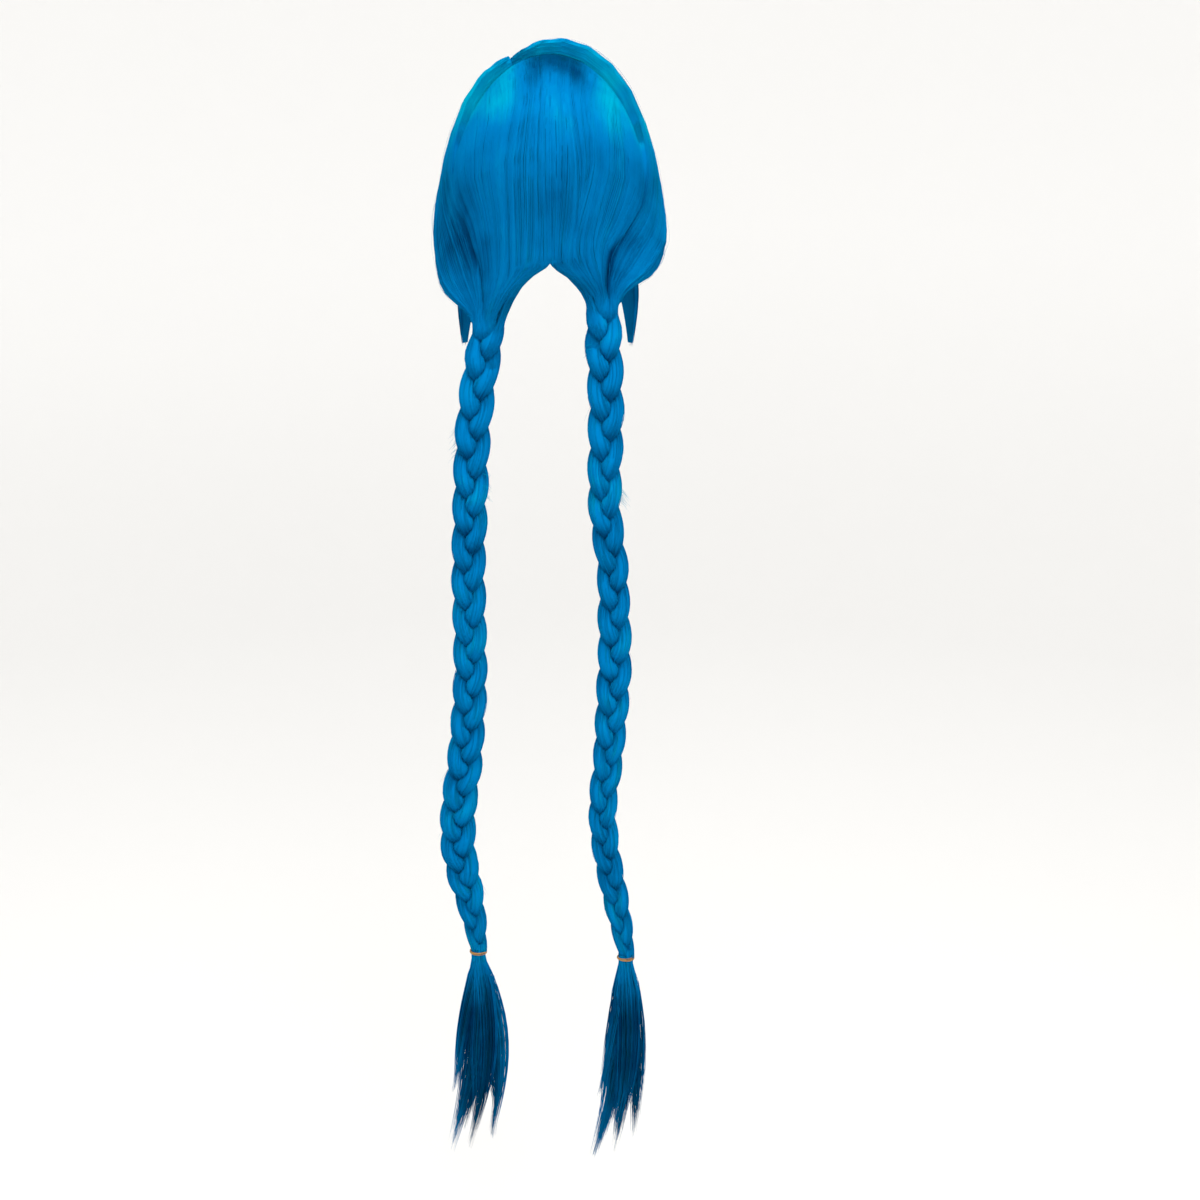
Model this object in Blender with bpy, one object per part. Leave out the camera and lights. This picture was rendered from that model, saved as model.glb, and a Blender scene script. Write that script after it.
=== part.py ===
"""Pigtail wig: combed hair on a cap, gathered at the nape into two long three-strand braids.

Metres, +Z up. The face looks along -Y and the nape along +Y; +X is the wearer's left.
The origin is the inside top of the cap, where the wig sits on the head.

The head is a half ellipsoid over a nearly straight wall. A place on it is a level and an
azimuth: level 0 is the vertex, 1 the widest ring, and each further 1 is one dome height
lower. Azimuth 0 is the back of the head, +90 the wearer's left ear and 180 the face.
Level and azimuth are also the polar coordinates of a flat map, where a straight line
crosses the vertex without a break. Every panel of hair is a sheet drawn on that map
between guide lines, which run the way the hair is combed, and is then given its lift off
the head and its thickness.
"""

import math
from collections import namedtuple

import bmesh
import bpy
from mathutils import Vector

# The head that the cap fits
HEAD_WIDTH = 0.154
HEAD_DEPTH = 0.194
DOME_HEIGHT = 0.105
NAPE_TAPER = 0.08  # share of the girth lost in each dome height below the widest ring

# Cap and clearances
CAP_WALL = 0.0015
NEST_GAP = 0.0012  # between the cap and the hair that lies over it
SEAM_GAP = 0.0014  # between neighbouring panels of hair
JOIN_GAP = 0.0003  # between faces that meet end to end

# Hair panels
HAIR_THICKNESS = 0.0180
EDGE_SHARE = 0.45  # thickness left at a panel's edges
RIDGE_SHARE = 0.10  # height of a combed ridge, as a share of the thickness
CROWN_LINE = 0.13  # map distance behind the vertex at which the back hair starts
PARTING = 0.27  # map distance of the parting from the middle, towards the wearer's left
HAIRLINE = 0.63  # map distance in front of the vertex at which the fringe starts
FACE_LOCK_LENGTH = 0.188

# Braids
BRAID_LENGTH = 0.620
BRAID_WIDTH = 0.0335
BRAID_THICKNESS = 0.0265
STRAND_GAP = 0.0006
LOBE_SPACING_TOP = 0.0380
LOBE_SPACING_END = 0.0298
BRAID_SWAY = 0.034
BRAID_DRIFT = 0.056

# Hair ties and loose ends
TIE_CORD = 0.0026
TIE_HEIGHT = 0.0034
TAIL_LENGTH = 0.212
TAIL_SPREAD = 0.030
NECK_WIDTH = 0.0150
NECK_THICKNESS = 0.0125
NECK_LENGTH = 0.0075

# Combed ridges across each panel
BACK_RIDGES = 4
SIDE_RIDGES = 3
LOCK_RIDGES = 1

# Mesh fineness
GUIDE_STEPS = 2  # rows of faces between two stations of a guide line
LEFT_ROOT_STEPS = 3  # and from the parting to the first station
RIGHT_ROOT_STEPS = 8
BACK_COLUMNS = 10
SIDE_COLUMNS = 9
LOCK_COLUMNS = 5
COLUMNS_PER_FRINGE_LOCK = 4
CAP_COLUMNS = 24
CAP_STEPS = 7
STRAND_SIDES = 7
STEPS_PER_LOBE = 3.9
TAIL_STEPS = 7
TAIL_SIDES = 6
TIE_STEPS = 14
TIE_SIDES = 5
SHARP_ANGLE = 50.0  # degrees between faces above which an edge looks sharp

# Where each braid starts: its place on the head, its share of BRAID_LENGTH, the turn of
# its strands at the top in degrees, how far its tail bulges, and how far the face lock on
# its side flares out
Gather = namedtuple("Gather", "side azimuth level length phase bulge flare")
LEFT = Gather(side=1, azimuth=43.0, level=2.26, length=0.985, phase=13.0, bulge=1.0, flare=1.3)
RIGHT = Gather(side=-1, azimuth=35.0, level=2.08, length=1.018, phase=72.0, bulge=0.5, flare=1.0)
MEAN_AZIMUTH = 39.0
MEAN_LEVEL = 2.24

# The cap's rim from nape to forehead
RimRow = namedtuple("RimRow", "azimuth level")
CAP_RIM = [
    RimRow(0, 1.56),
    RimRow(32, 1.52),
    RimRow(62, 1.32),
    RimRow(90, 1.08),
    RimRow(120, 1.02),
    RimRow(150, 0.80),
    RimRow(180, 0.74),
]

# Guide lines down the back, in stations from the crown to the gather: the middle of the
# nape with its arch, the middle of each half, and the seam with the side hair.
# pull is how far a station follows its own gather instead of the mean one.
BackRow = namedtuple("BackRow", "nape_level nape_az half_level half_az seam_level seam_az lift thick pull")
BACK_ROWS = [
    BackRow(0.13, 0.0, 0.42, 70.0, 0.77, 80.0, 0.00, 0.36, 0.0),
    BackRow(0.50, 0.0, 0.66, 38.0, 0.98, 74.0, 0.08, 0.80, 0.0),
    BackRow(0.90, 0.0, 0.98, 35.0, 1.20, 70.0, 0.08, 0.94, 0.0),
    BackRow(1.30, 0.0, 1.34, 30.0, 1.44, 56.0, 0.08, 1.00, 0.2),
    BackRow(1.62, 0.0, 1.67, 27.0, 1.70, 45.5, 0.14, 1.00, 0.7),
    BackRow(1.76, 0.0, 1.88, 27.5, 1.90, 41.0, 0.16, 1.04, 0.9),
    BackRow(1.96, 16.5, 2.06, 31.0, 2.08, 39.0, 0.10, 1.16, 1.0),
    BackRow(2.24, 30.0, 2.24, 34.5, 2.24, 39.0, 0.04, 1.30, 1.0),
]
ARCH_STATION = 5

# Guide lines of the side hair below the crown, at the same stations as the seam: over the
# ear, and the front edge, which sweeps back to the gather under the ear.
SideRow = namedtuple("SideRow", "ear_level ear_az front_level front_az lift thick")
SIDE_ROWS = [
    SideRow(0.84, 108.0, 1.02, 127.5, 0.50, 1.08),
    SideRow(1.06, 103.0, 1.20, 124.0, 0.78, 1.06),
    SideRow(1.28, 96.0, 1.38, 118.0, 0.96, 1.02),
    SideRow(1.52, 86.0, 1.58, 110.0, 1.08, 0.98),
    SideRow(1.76, 72.0, 1.80, 96.0, 1.08, 0.98),
    SideRow(1.96, 59.0, 2.00, 78.0, 0.98, 1.06),
    SideRow(2.10, 49.0, 2.12, 61.0, 0.60, 1.18),
    SideRow(2.24, 43.2, 2.24, 48.0, 0.12, 1.30),
]

# Thickness of the side hair from the parting to its first station
RootRow = namedtuple("RootRow", "share left right")
ROOT_ROWS = [
    RootRow(0.00, 0.90, 0.74),
    RootRow(0.12, 1.06, 0.98),
    RootRow(0.26, 1.12, 1.20),
    RootRow(0.48, 1.15, 1.28),
    RootRow(0.70, 1.14, 1.20),
    RootRow(1.00, 1.08, 1.06),
]

# Front hair, mirrored for the two sides
FringeRow = namedtuple("FringeRow", "middle_level side_level side_az lift thick")
FRINGE_ROWS = [
    FringeRow(0.65, 0.78, 147.0, -0.045, 0.72),
    FringeRow(0.82, 0.92, 149.0, 0.04, 0.62),
    FringeRow(0.98, 1.03, 151.0, 0.10, 0.44),
    FringeRow(1.10, 1.10, 153.0, 0.16, 0.16),
]
FRINGE_LOCKS = 5
FRINGE_SWEEP = 9.0  # degrees that the tips lean towards the wearer's right
FRINGE_TIP = 0.10  # level by which a lock's tip hangs below the notches beside it

# Face locks: back edge and front edge, with the front edge's drop as a share of
# FACE_LOCK_LENGTH, and the levels by which the back edge and the middle lie lower
LockRow = namedtuple("LockRow", "drop back_az front_az back_lower middle_lower lift thick")
LOCK_ROWS = [
    LockRow(0.00, 131.5, 144.5, 0.23, 0.09, -0.045, 0.55),
    LockRow(0.20, 129.5, 145.0, 0.13, 0.05, 0.24, 0.64),
    LockRow(0.45, 123.0, 141.0, 0.00, 0.00, 0.72, 0.64),
    LockRow(0.70, 114.5, 131.0, 0.00, 0.00, 1.08, 0.56),
    LockRow(1.00, 110.5, 113.0, 0.00, 0.00, 0.98, 0.12),
]

# The braids' way down: sideways from the gather as shares of BRAID_SWAY, outwards being
# positive, and backwards as a share of BRAID_DRIFT
WayRow = namedtuple("WayRow", "share left right back")
BRAID_WAY = [
    WayRow(0.00, 0.00, 0.00, 0.00),
    WayRow(0.08, 0.27, 0.06, 0.17),
    WayRow(0.17, 0.46, 0.11, 0.33),
    WayRow(0.30, 0.56, 0.09, 0.53),
    WayRow(0.40, 0.60, 0.32, 0.65),
    WayRow(0.55, 0.57, 0.37, 0.80),
    WayRow(0.68, 0.74, 0.22, 0.90),
    WayRow(0.77, 0.95, 0.07, 0.94),
    WayRow(0.84, 0.93, 0.21, 0.96),
    WayRow(0.92, 0.64, 0.50, 0.98),
    WayRow(1.00, 0.41, 0.77, 1.00),
]

# Width of each braid down its length, as a share of BRAID_WIDTH
GirthRow = namedtuple("GirthRow", "share left right")
BRAID_GIRTH = [
    GirthRow(0.00, 0.90, 0.90),
    GirthRow(0.06, 1.00, 1.00),
    GirthRow(0.40, 0.92, 0.86),
    GirthRow(0.55, 0.93, 0.94),
    GirthRow(0.72, 1.00, 0.80),
    GirthRow(0.88, 0.95, 0.76),
    GirthRow(0.96, 0.68, 0.64),
    GirthRow(1.00, 0.48, 0.48),
]
STRAND_REACH = 0.225  # of the braid's width, from its middle to an outer strand's centre
STRAND_DEPTH = 0.20  # of its thickness, from its middle to a crossing strand's centre
STRAND_HALF_WIDTH = 0.29
STRAND_HALF_DEPTH = 0.33

# Locks of a tail: sideways bulge and tip as shares of TAIL_SPREAD, towards the wearer's
# left being positive, its depth the same way, and its length and girth
TailRow = namedtuple("TailRow", "bulge tip depth length girth")
TAIL_LOCKS = [
    TailRow(0.00, 0.98, 0.05, 1.00, 1.00),
    TailRow(-0.45, 0.36, 0.30, 0.96, 0.92),
    TailRow(-0.78, -0.36, -0.20, 0.93, 0.78),
    TailRow(0.34, 0.84, 0.16, 0.68, 0.66),
    TailRow(-0.25, 0.52, -0.40, 0.90, 0.88),
]
TailSection = namedtuple("TailSection", "share girth")
TAIL_SECTIONS = [
    TailSection(0.00, 0.50),
    TailSection(0.16, 0.84),
    TailSection(0.36, 1.04),
    TailSection(0.60, 0.92),
    TailSection(0.82, 0.54),
    TailSection(1.00, 0.10),
]
TAIL_LOCK_WIDTH = 0.0205
TAIL_LOCK_DEPTH = 0.0145
TAIL_DEPTH_WAVE = 0.7  # half waves that a lock's depth runs through

# Neck of a tail, from the braid's end down past the hair tie: the drop as a share of
# NECK_LENGTH
NeckRow = namedtuple("NeckRow", "drop girth")
NECK_ROWS = [
    NeckRow(0.00, 0.96),
    NeckRow(0.25, 1.00),
    NeckRow(1.00, 1.00),
    NeckRow(2.50, 1.16),
    NeckRow(4.00, 0.90),
]

HAIR_BLUE = (0.002, 0.205, 0.520, 1.0)
CAP_BLUE = (0.004, 0.110, 0.300, 1.0)
TIE_TAN = (0.620, 0.290, 0.070, 1.0)


def clear_scene():
    for old in list(bpy.data.objects):
        bpy.data.objects.remove(old)


def make_material(name, colour, roughness):
    material = bpy.data.materials.new(name)
    material.use_nodes = True
    shader = material.node_tree.nodes["Principled BSDF"]
    shader.inputs["Base Color"].default_value = colour
    shader.inputs["Roughness"].default_value = roughness
    shader.inputs["Metallic"].default_value = 0.0
    return material


def spline(rows, share):
    """Smooth value of each column of rows at a share of their run, 0 to 1."""
    place = min(max(share, 0.0), 1.0) * (len(rows) - 1)
    i = min(int(place), len(rows) - 2)
    t = place - i
    before = rows[max(i - 1, 0)]
    after = rows[min(i + 2, len(rows) - 1)]
    return [
        0.5 * (2 * b + (c - a) * t + (2 * a - 5 * b + 4 * c - d) * t**2 + (3 * b - a - 3 * c + d) * t**3)
        for a, b, c, d in zip(before, rows[i], rows[i + 1], after)
    ]


def along(rows, share):
    """Smooth values between rows whose first column is the share at which each one holds."""
    i = 0
    while i < len(rows) - 2 and rows[i + 1][0] < share:
        i += 1
    local = (share - rows[i][0]) / (rows[i + 1][0] - rows[i][0])
    return spline(rows, (i + min(max(local, 0.0), 1.0)) / (len(rows) - 1))


def on_map(level, azimuth):
    angle = math.radians(azimuth)
    return Vector((level * math.sin(angle), level * math.cos(angle)))


def head_point(place, offset):
    """Point at an offset outside the head, at a place on the flat map."""
    level = place.length
    azimuth = math.atan2(place.x, place.y)
    dome = min(level, 1.0) * math.pi / 2
    below = max(level - 1.0, 0.0)
    girth = math.sin(dome) * (1.0 - NAPE_TAPER * below)
    return Vector(
        (
            (HEAD_WIDTH / 2 * girth + offset * math.sin(dome)) * math.sin(azimuth),
            (HEAD_DEPTH / 2 * girth + offset * math.sin(dome)) * math.cos(azimuth),
            (DOME_HEIGHT + offset) * math.cos(dome) - DOME_HEIGHT * (1.0 + below),
        )
    )


def shifted(line, other, distance):
    """A guide line moved away from another one by a distance over the head."""
    metres_per_level = DOME_HEIGHT * math.pi / 2
    return [p + (p - q).normalized() * distance / metres_per_level for p, q in zip(line, other)]


def add_object(name, mesh, material):
    obj = bpy.data.objects.new(name, mesh)
    bpy.context.scene.collection.objects.link(obj)
    mesh.materials.append(material)
    mesh.shade_smooth()
    mesh.set_sharp_from_angle(angle=math.radians(SHARP_ANGLE))
    return obj


def mesh_object(name, points, faces, material):
    mesh = bpy.data.meshes.new(name)
    mesh.from_pydata(points, [], faces)
    form = bmesh.new()
    form.from_mesh(mesh)
    bmesh.ops.recalc_face_normals(form, faces=form.faces)
    form.to_mesh(mesh)
    form.free()
    return add_object(name, mesh, material)


def thick_sheet(name, faces, inner, outer, material):
    """A closed wall between two copies of one sheet of faces."""
    count = len(inner)
    edges = {}
    for face in faces:
        for pair in zip(face, face[1:] + face[:1]):
            edges.setdefault(frozenset(pair), []).append(pair)
    rim = [pairs[0] for pairs in edges.values() if len(pairs) == 1]
    solid = [tuple(face) for face in faces]
    solid += [tuple(i + count for i in reversed(face)) for face in faces]
    solid += [(b, a, a + count, b + count) for a, b in rim]
    return mesh_object(name, outer + inner, solid, material)


def grid_faces(rows, columns):
    return [
        [r * columns + c, r * columns + c + 1, (r + 1) * columns + c + 1, (r + 1) * columns + c]
        for r in range(rows - 1)
        for c in range(columns - 1)
    ]


def across(a, m, b, u):
    """Place between two guide lines, on a curve that passes through the middle one."""
    return a * (1 - u) * (1 - 2 * u) + m * 4 * u * (1 - u) + b * u * (2 * u - 1)


def crowned(u, ridges):
    """Thickness across a panel: full in the middle, thin at its edges, with combed ridges."""
    body = EDGE_SHARE + (1 - EDGE_SHARE) * math.sqrt(max(math.sin(math.pi * u), 0.0))
    return body * (1 + RIDGE_SHARE * math.cos(2 * math.pi * ridges * u))


def panel(name, lines, lifts, thicks, columns, ridges, material, seam_lifts=None, notch=None):
    """A sheet of hair between three guide lines, each a list of places from root to end.

    Where the panel has a seam, it leaves it at the seam's own lift and rises to its own
    lift by its middle.
    """
    inner, outer = [], []
    rows = len(lines[0])
    for r in range(rows):
        for c in range(columns):
            u = c / (columns - 1)
            place = across(lines[0][r], lines[1][r], lines[2][r], u)
            if notch:
                place = notch(place, r / (rows - 1), u)
            lift = lifts[r]
            if seam_lifts:
                lift += (seam_lifts[r] - lift) * max(math.cos(math.pi * u), 0.0)
            base = CAP_WALL + NEST_GAP + lift * HAIR_THICKNESS
            inner.append(head_point(place, base))
            outer.append(head_point(place, base + thicks[r] * HAIR_THICKNESS * crowned(u, ridges)))
    return thick_sheet(name, grid_faces(rows, columns), inner, outer, material)


def back_guides(gather):
    """Guide lines down one half of the back, sampled: nape, half and seam, with lift and thickness."""
    nape, half, seam, lifts, thicks = [], [], [], [], []
    last = GUIDE_STEPS * (len(BACK_ROWS) - 1)
    arch = GUIDE_STEPS * ARCH_STATION
    for i in range(last + 1):
        row = BackRow(*spline(BACK_ROWS, i / last))
        turn = row.pull * (gather.azimuth - MEAN_AZIMUTH)
        drop = row.pull * (gather.level - MEAN_LEVEL)
        # The halves share the middle line down to the arch, and each follows its gather below it
        free = max(i - arch, 0) / (last - arch)
        nape_az = row.nape_az + turn if free else 0.0
        nape.append(on_map(row.nape_level + drop * free, gather.side * nape_az))
        half.append(on_map(row.half_level + drop, gather.side * (row.half_az + turn)))
        seam.append(on_map(row.seam_level + drop, gather.side * (row.seam_az + turn)))
        lifts.append(row.lift)
        thicks.append(row.thick)
    return nape, half, seam, lifts, thicks


def side_guides(gather):
    """Guide lines of the side hair beside the seam, sampled: ear and front, with lift and thickness."""
    ear, front, lifts, thicks = [], [], [], []
    last = GUIDE_STEPS * (len(SIDE_ROWS) - 1)
    for i in range(last + 1):
        row = SideRow(*spline(SIDE_ROWS, i / last))
        pull = BackRow(*spline(BACK_ROWS, i / last)).pull
        turn = pull * (gather.azimuth - MEAN_AZIMUTH)
        drop = pull * (gather.level - MEAN_LEVEL)
        ear.append(on_map(row.ear_level + drop, gather.side * (row.ear_az + turn)))
        front.append(on_map(row.front_level + drop, gather.side * (row.front_az + turn)))
        lifts.append(row.lift)
        thicks.append(row.thick)
    return ear, front, lifts, thicks


def make_cap(material):
    """The cap: a dome open below, with its rim high over the face and ears and low at the nape."""
    points = [Vector((0.0, 0.0))]
    faces = []
    for r in range(1, CAP_STEPS + 1):
        for c in range(CAP_COLUMNS):
            azimuth = 360.0 * c / CAP_COLUMNS
            fold = min(azimuth, 360.0 - azimuth)
            rim = along(CAP_RIM, fold)[1]
            points.append(on_map(rim * r / CAP_STEPS, azimuth))
    for c in range(CAP_COLUMNS):
        after = (c + 1) % CAP_COLUMNS
        faces.append([0, 1 + c, 1 + after])
        for r in range(CAP_STEPS - 1):
            top = 1 + r * CAP_COLUMNS
            low = top + CAP_COLUMNS
            faces.append([top + c, low + c, low + after, top + after])
    inner = [head_point(p, 0.0) for p in points]
    outer = [head_point(p, CAP_WALL) for p in points]
    return thick_sheet("wig_cap", faces, inner, outer, material)


def make_back_hair(material):
    """Back hair: two halves that share the middle line down to the arch over the nape."""
    arch = GUIDE_STEPS * ARCH_STATION
    inner, outer, faces, index = [], [], [], {}
    for gather in (LEFT, RIGHT):
        nape, half, seam, lifts, thicks = back_guides(gather)
        seam = shifted(seam, half, -SEAM_GAP / 2)
        for r in range(len(nape)):
            for c in range(BACK_COLUMNS):
                shared = c == 0 and r <= arch
                key = ("middle" if shared else gather.side, r, c)
                if key in index:
                    continue
                index[key] = len(inner)
                u = c / (BACK_COLUMNS - 1)
                place = across(nape[r], half[r], seam[r], u)
                # The two halves join over the middle line, so only the outer edge thins there
                if r < arch:
                    relief = crowned((1 + u) / 2, BACK_RIDGES / 2)
                else:
                    relief = crowned(u, BACK_RIDGES)
                base = CAP_WALL + NEST_GAP + lifts[r] * HAIR_THICKNESS
                inner.append(head_point(place, base))
                outer.append(head_point(place, base + thicks[r] * HAIR_THICKNESS * relief))
        for r in range(len(nape) - 1):
            for c in range(BACK_COLUMNS - 1):
                corners = [(r, c), (r, c + 1), (r + 1, c + 1), (r + 1, c)]
                face = [index[("middle" if k == 0 and q <= arch else gather.side, q, k)] for q, k in corners]
                faces.append(face if gather.side > 0 else face[::-1])
    return thick_sheet("back_hair", faces, inner, outer, material)


def make_side_hair(name, gather, material):
    """Side hair from the parting, round the ear and back to the gather; the right one crosses the crown."""
    _, half, seam, seam_lifts, _ = back_guides(gather)
    seam = shifted(seam, half, SEAM_GAP / 2)
    ear, front, lifts, thicks = side_guides(gather)
    metres_per_level = DOME_HEIGHT * math.pi / 2
    gap = SEAM_GAP / metres_per_level
    root = PARTING + gather.side * gap / 2
    crown = CROWN_LINE - gap
    seam[0] = Vector((seam[0].x, crown))
    roots = [
        Vector((root, crown)),
        Vector((root, (crown - HAIRLINE) / 2)),
        Vector((root, gap - HAIRLINE)),
    ]
    over = LEFT_ROOT_STEPS if gather.side > 0 else RIGHT_ROOT_STEPS
    lines = []
    for start, line in zip(roots, (seam, ear, front)):
        lines.append([start.lerp(line[0], i / over) for i in range(over)] + line)
    lifts = [lifts[0] * i / over for i in range(over)] + lifts
    seam_lifts = [seam_lifts[0]] * over + seam_lifts
    roots_thick = [RootRow(*along(ROOT_ROWS, i / over)) for i in range(over)]
    thicks = [row.left if gather.side > 0 else row.right for row in roots_thick] + thicks
    return panel(name, lines, lifts, thicks, SIDE_COLUMNS, SIDE_RIDGES, material, seam_lifts=seam_lifts)


def make_fringe(material):
    """Fringe over the forehead: one sheet whose lower edge is cut into pointed locks."""
    columns = COLUMNS_PER_FRINGE_LOCK * FRINGE_LOCKS + 1
    last = GUIDE_STEPS * (len(FRINGE_ROWS) - 1)
    left, middle, right, lifts, thicks = [], [], [], [], []
    for i in range(last + 1):
        row = FringeRow(*spline(FRINGE_ROWS, i / last))
        left.append(on_map(row.side_level, row.side_az))
        right.append(on_map(row.side_level, -row.side_az))
        middle.append(on_map(row.middle_level, 180.0))
        lifts.append(row.lift)
        thicks.append(row.thick)

    def notch(place, v, u):
        tip = 0.5 - 0.5 * math.cos(2 * math.pi * FRINGE_LOCKS * u)
        level = place.length + FRINGE_TIP * tip * v**3
        azimuth = math.degrees(math.atan2(place.x, place.y)) + FRINGE_SWEEP * v**2 * math.sin(math.pi * u)
        return on_map(level, azimuth)

    return panel("fringe", [left, middle, right], lifts, thicks, columns, FRINGE_LOCKS, material, notch=notch)


def make_face_lock(name, gather, material):
    """A lock in front of the ear, which hangs free and narrows to its tip."""
    back, middle, front, lifts, thicks = [], [], [], [], []
    last = GUIDE_STEPS * (len(LOCK_ROWS) - 1)
    top_level = HAIRLINE / math.cos(math.radians(180 - LOCK_ROWS[0].front_az))
    for i in range(last + 1):
        row = LockRow(*spline(LOCK_ROWS, i / last))
        level = top_level + row.drop * FACE_LOCK_LENGTH / DOME_HEIGHT
        middle_az = (row.back_az + row.front_az) / 2
        back.append(on_map(level + row.back_lower, gather.side * row.back_az))
        middle.append(on_map(level + row.middle_lower, gather.side * middle_az))
        front.append(on_map(level, gather.side * row.front_az))
        lifts.append(row.lift * (1 + (gather.flare - 1) * row.drop))
        thicks.append(row.thick)
    return panel(name, [back, middle, front], lifts, thicks, LOCK_COLUMNS, LOCK_RIDGES, material)


def braid_top(gather):
    """Middle of the gather's lower face, where the braid starts."""
    place = on_map(gather.level, gather.side * gather.azimuth)
    bundle = HAIR_THICKNESS * BACK_ROWS[-1].thick
    return head_point(place, CAP_WALL + NEST_GAP + bundle / 2)


def braid_centre(gather, share):
    """Middle of the braid at a share of its length, by the way that it hangs."""
    way = WayRow(*along(BRAID_WAY, share))
    sway = way.left if gather.side > 0 else way.right
    top = braid_top(gather)
    return Vector(
        (
            top.x + gather.side * sway * BRAID_SWAY,
            top.y + way.back * BRAID_DRIFT,
            top.z - JOIN_GAP - share * BRAID_LENGTH * gather.length,
        )
    )


def lobes_in(gather):
    """Lobes down one edge of a braid, whose spacing shrinks evenly from its top to its end."""
    mean = (LOBE_SPACING_TOP - LOBE_SPACING_END) / math.log(LOBE_SPACING_TOP / LOBE_SPACING_END)
    return BRAID_LENGTH * gather.length / mean


def share_at(gather, lobes):
    """Share of the braid's length that a number of lobes takes up."""
    shrink = LOBE_SPACING_END / LOBE_SPACING_TOP
    return (shrink ** (lobes / lobes_in(gather)) - 1) / (shrink - 1)


def braid_girth(gather, share):
    row = GirthRow(*along(BRAID_GIRTH, share))
    return row.left if gather.side > 0 else row.right


def strand_centre(gather, number, lobes, girth):
    """Middle of one strand, from the braid's own middle: a flat figure of eight."""
    phase = math.radians(gather.phase + 120.0 * (lobes + number))
    reach = STRAND_REACH * BRAID_WIDTH * girth
    depth = STRAND_DEPTH * BRAID_THICKNESS * girth
    return Vector((reach * math.sin(phase), -depth * math.sin(2 * phase)))


def strand_section(gather, number, lobes):
    """Outline of one strand: a fat ellipse, cut off halfway to each of the other two strands.

    The cut keeps to the halfway lines of half a step above and below too, so that the
    strands stay apart between two sections while they cross.
    """
    share = share_at(gather, lobes)
    girth = braid_girth(gather, share)
    own = strand_centre(gather, number, lobes, girth)
    half_width = STRAND_HALF_WIDTH * BRAID_WIDTH * girth
    half_depth = STRAND_HALF_DEPTH * BRAID_THICKNESS * girth
    middle = braid_centre(gather, share)
    cuts = []
    for other in (number + 1, number + 2):
        halfway = (strand_centre(gather, other, lobes, girth) - own) / 2
        for step in (-0.5, 0.0, 0.5):
            at = lobes + step / STEPS_PER_LOBE
            facing = strand_centre(gather, other, at, girth) - strand_centre(gather, number, at, girth)
            facing.normalize()
            cuts.append((facing, halfway.dot(facing) - STRAND_GAP / 2))
    points = []
    for s in range(STRAND_SIDES):
        angle = 2 * math.pi * (s + 0.5) / STRAND_SIDES
        way = Vector((math.cos(angle), math.sin(angle)))
        reach = 1 / math.hypot(way.x / half_width, way.y / half_depth)
        for facing, distance in cuts:
            if way.dot(facing) * reach > distance:
                reach = distance / way.dot(facing)
        at = own + way * reach
        points.append(middle + Vector((at.x, at.y, 0.0)))
    return points


def tube_faces(rings, sides):
    """Sides and end faces of a solid lofted through rings of points."""
    faces = [
        (r * sides + s, r * sides + (s + 1) % sides, (r + 1) * sides + (s + 1) % sides, (r + 1) * sides + s)
        for r in range(rings - 1)
        for s in range(sides)
    ]
    faces.append(tuple(range(sides)))
    faces.append(tuple(reversed(range((rings - 1) * sides, rings * sides))))
    return faces


def make_strand(name, gather, number, material):
    lobes = lobes_in(gather)
    count = round(lobes * STEPS_PER_LOBE)
    points = []
    for r in range(count + 1):
        points += strand_section(gather, number, lobes * r / count)
    return mesh_object(name, points, tube_faces(count + 1, STRAND_SIDES), material)


def ellipse_ring(centre, half_width, half_depth, sides):
    return [
        centre
        + Vector(
            (
                half_width * math.cos(2 * math.pi * (s + 0.5) / sides),
                half_depth * math.sin(2 * math.pi * (s + 0.5) / sides),
                0.0,
            )
        )
        for s in range(sides)
    ]


def make_tie(name, gather, material):
    """Elastic band: a rounded cord wound round the neck of the tail."""
    centre = braid_centre(gather, 1.0) - Vector((0, 0, JOIN_GAP + NECK_LENGTH / 2))
    # Wide enough for its flat inner sides to clear the neck
    slack = 1 / math.cos(math.pi / TIE_STEPS)
    points = []
    for t in range(TIE_STEPS):
        turn = 2 * math.pi * t / TIE_STEPS
        for s in range(TIE_SIDES):
            angle = 2 * math.pi * s / TIE_SIDES
            out = JOIN_GAP + TIE_CORD / 2 * (1 + math.cos(angle))
            points.append(
                centre
                + Vector(
                    (
                        (NECK_WIDTH / 2 + out) * slack * math.cos(turn),
                        (NECK_THICKNESS / 2 + out) * slack * math.sin(turn),
                        TIE_HEIGHT / 2 * math.sin(angle),
                    )
                )
            )
    faces = [
        (
            t * TIE_SIDES + s,
            ((t + 1) % TIE_STEPS) * TIE_SIDES + s,
            ((t + 1) % TIE_STEPS) * TIE_SIDES + (s + 1) % TIE_SIDES,
            t * TIE_SIDES + (s + 1) % TIE_SIDES,
        )
        for t in range(TIE_STEPS)
        for s in range(TIE_SIDES)
    ]
    return mesh_object(name, points, faces, material)


def tail_lock(row, gather, top, material):
    """One lock of a tail, from inside the neck down to its tip."""
    points = []
    for r in range(TAIL_STEPS + 1):
        s = r / TAIL_STEPS
        section = TailSection(*along(TAIL_SECTIONS, s))
        centre = top + Vector(
            (
                TAIL_SPREAD * (gather.bulge * row.bulge * math.sin(math.pi * s) + row.tip * s**2),
                TAIL_SPREAD * row.depth * math.sin(math.pi * TAIL_DEPTH_WAVE * s),
                -s * row.length * TAIL_LENGTH,
            )
        )
        girth = row.girth * section.girth
        points += ellipse_ring(centre, TAIL_LOCK_WIDTH / 2 * girth, TAIL_LOCK_DEPTH / 2 * girth, TAIL_SIDES)
    return mesh_object("tail_lock", points, tube_faces(TAIL_STEPS + 1, TAIL_SIDES), material)


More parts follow.
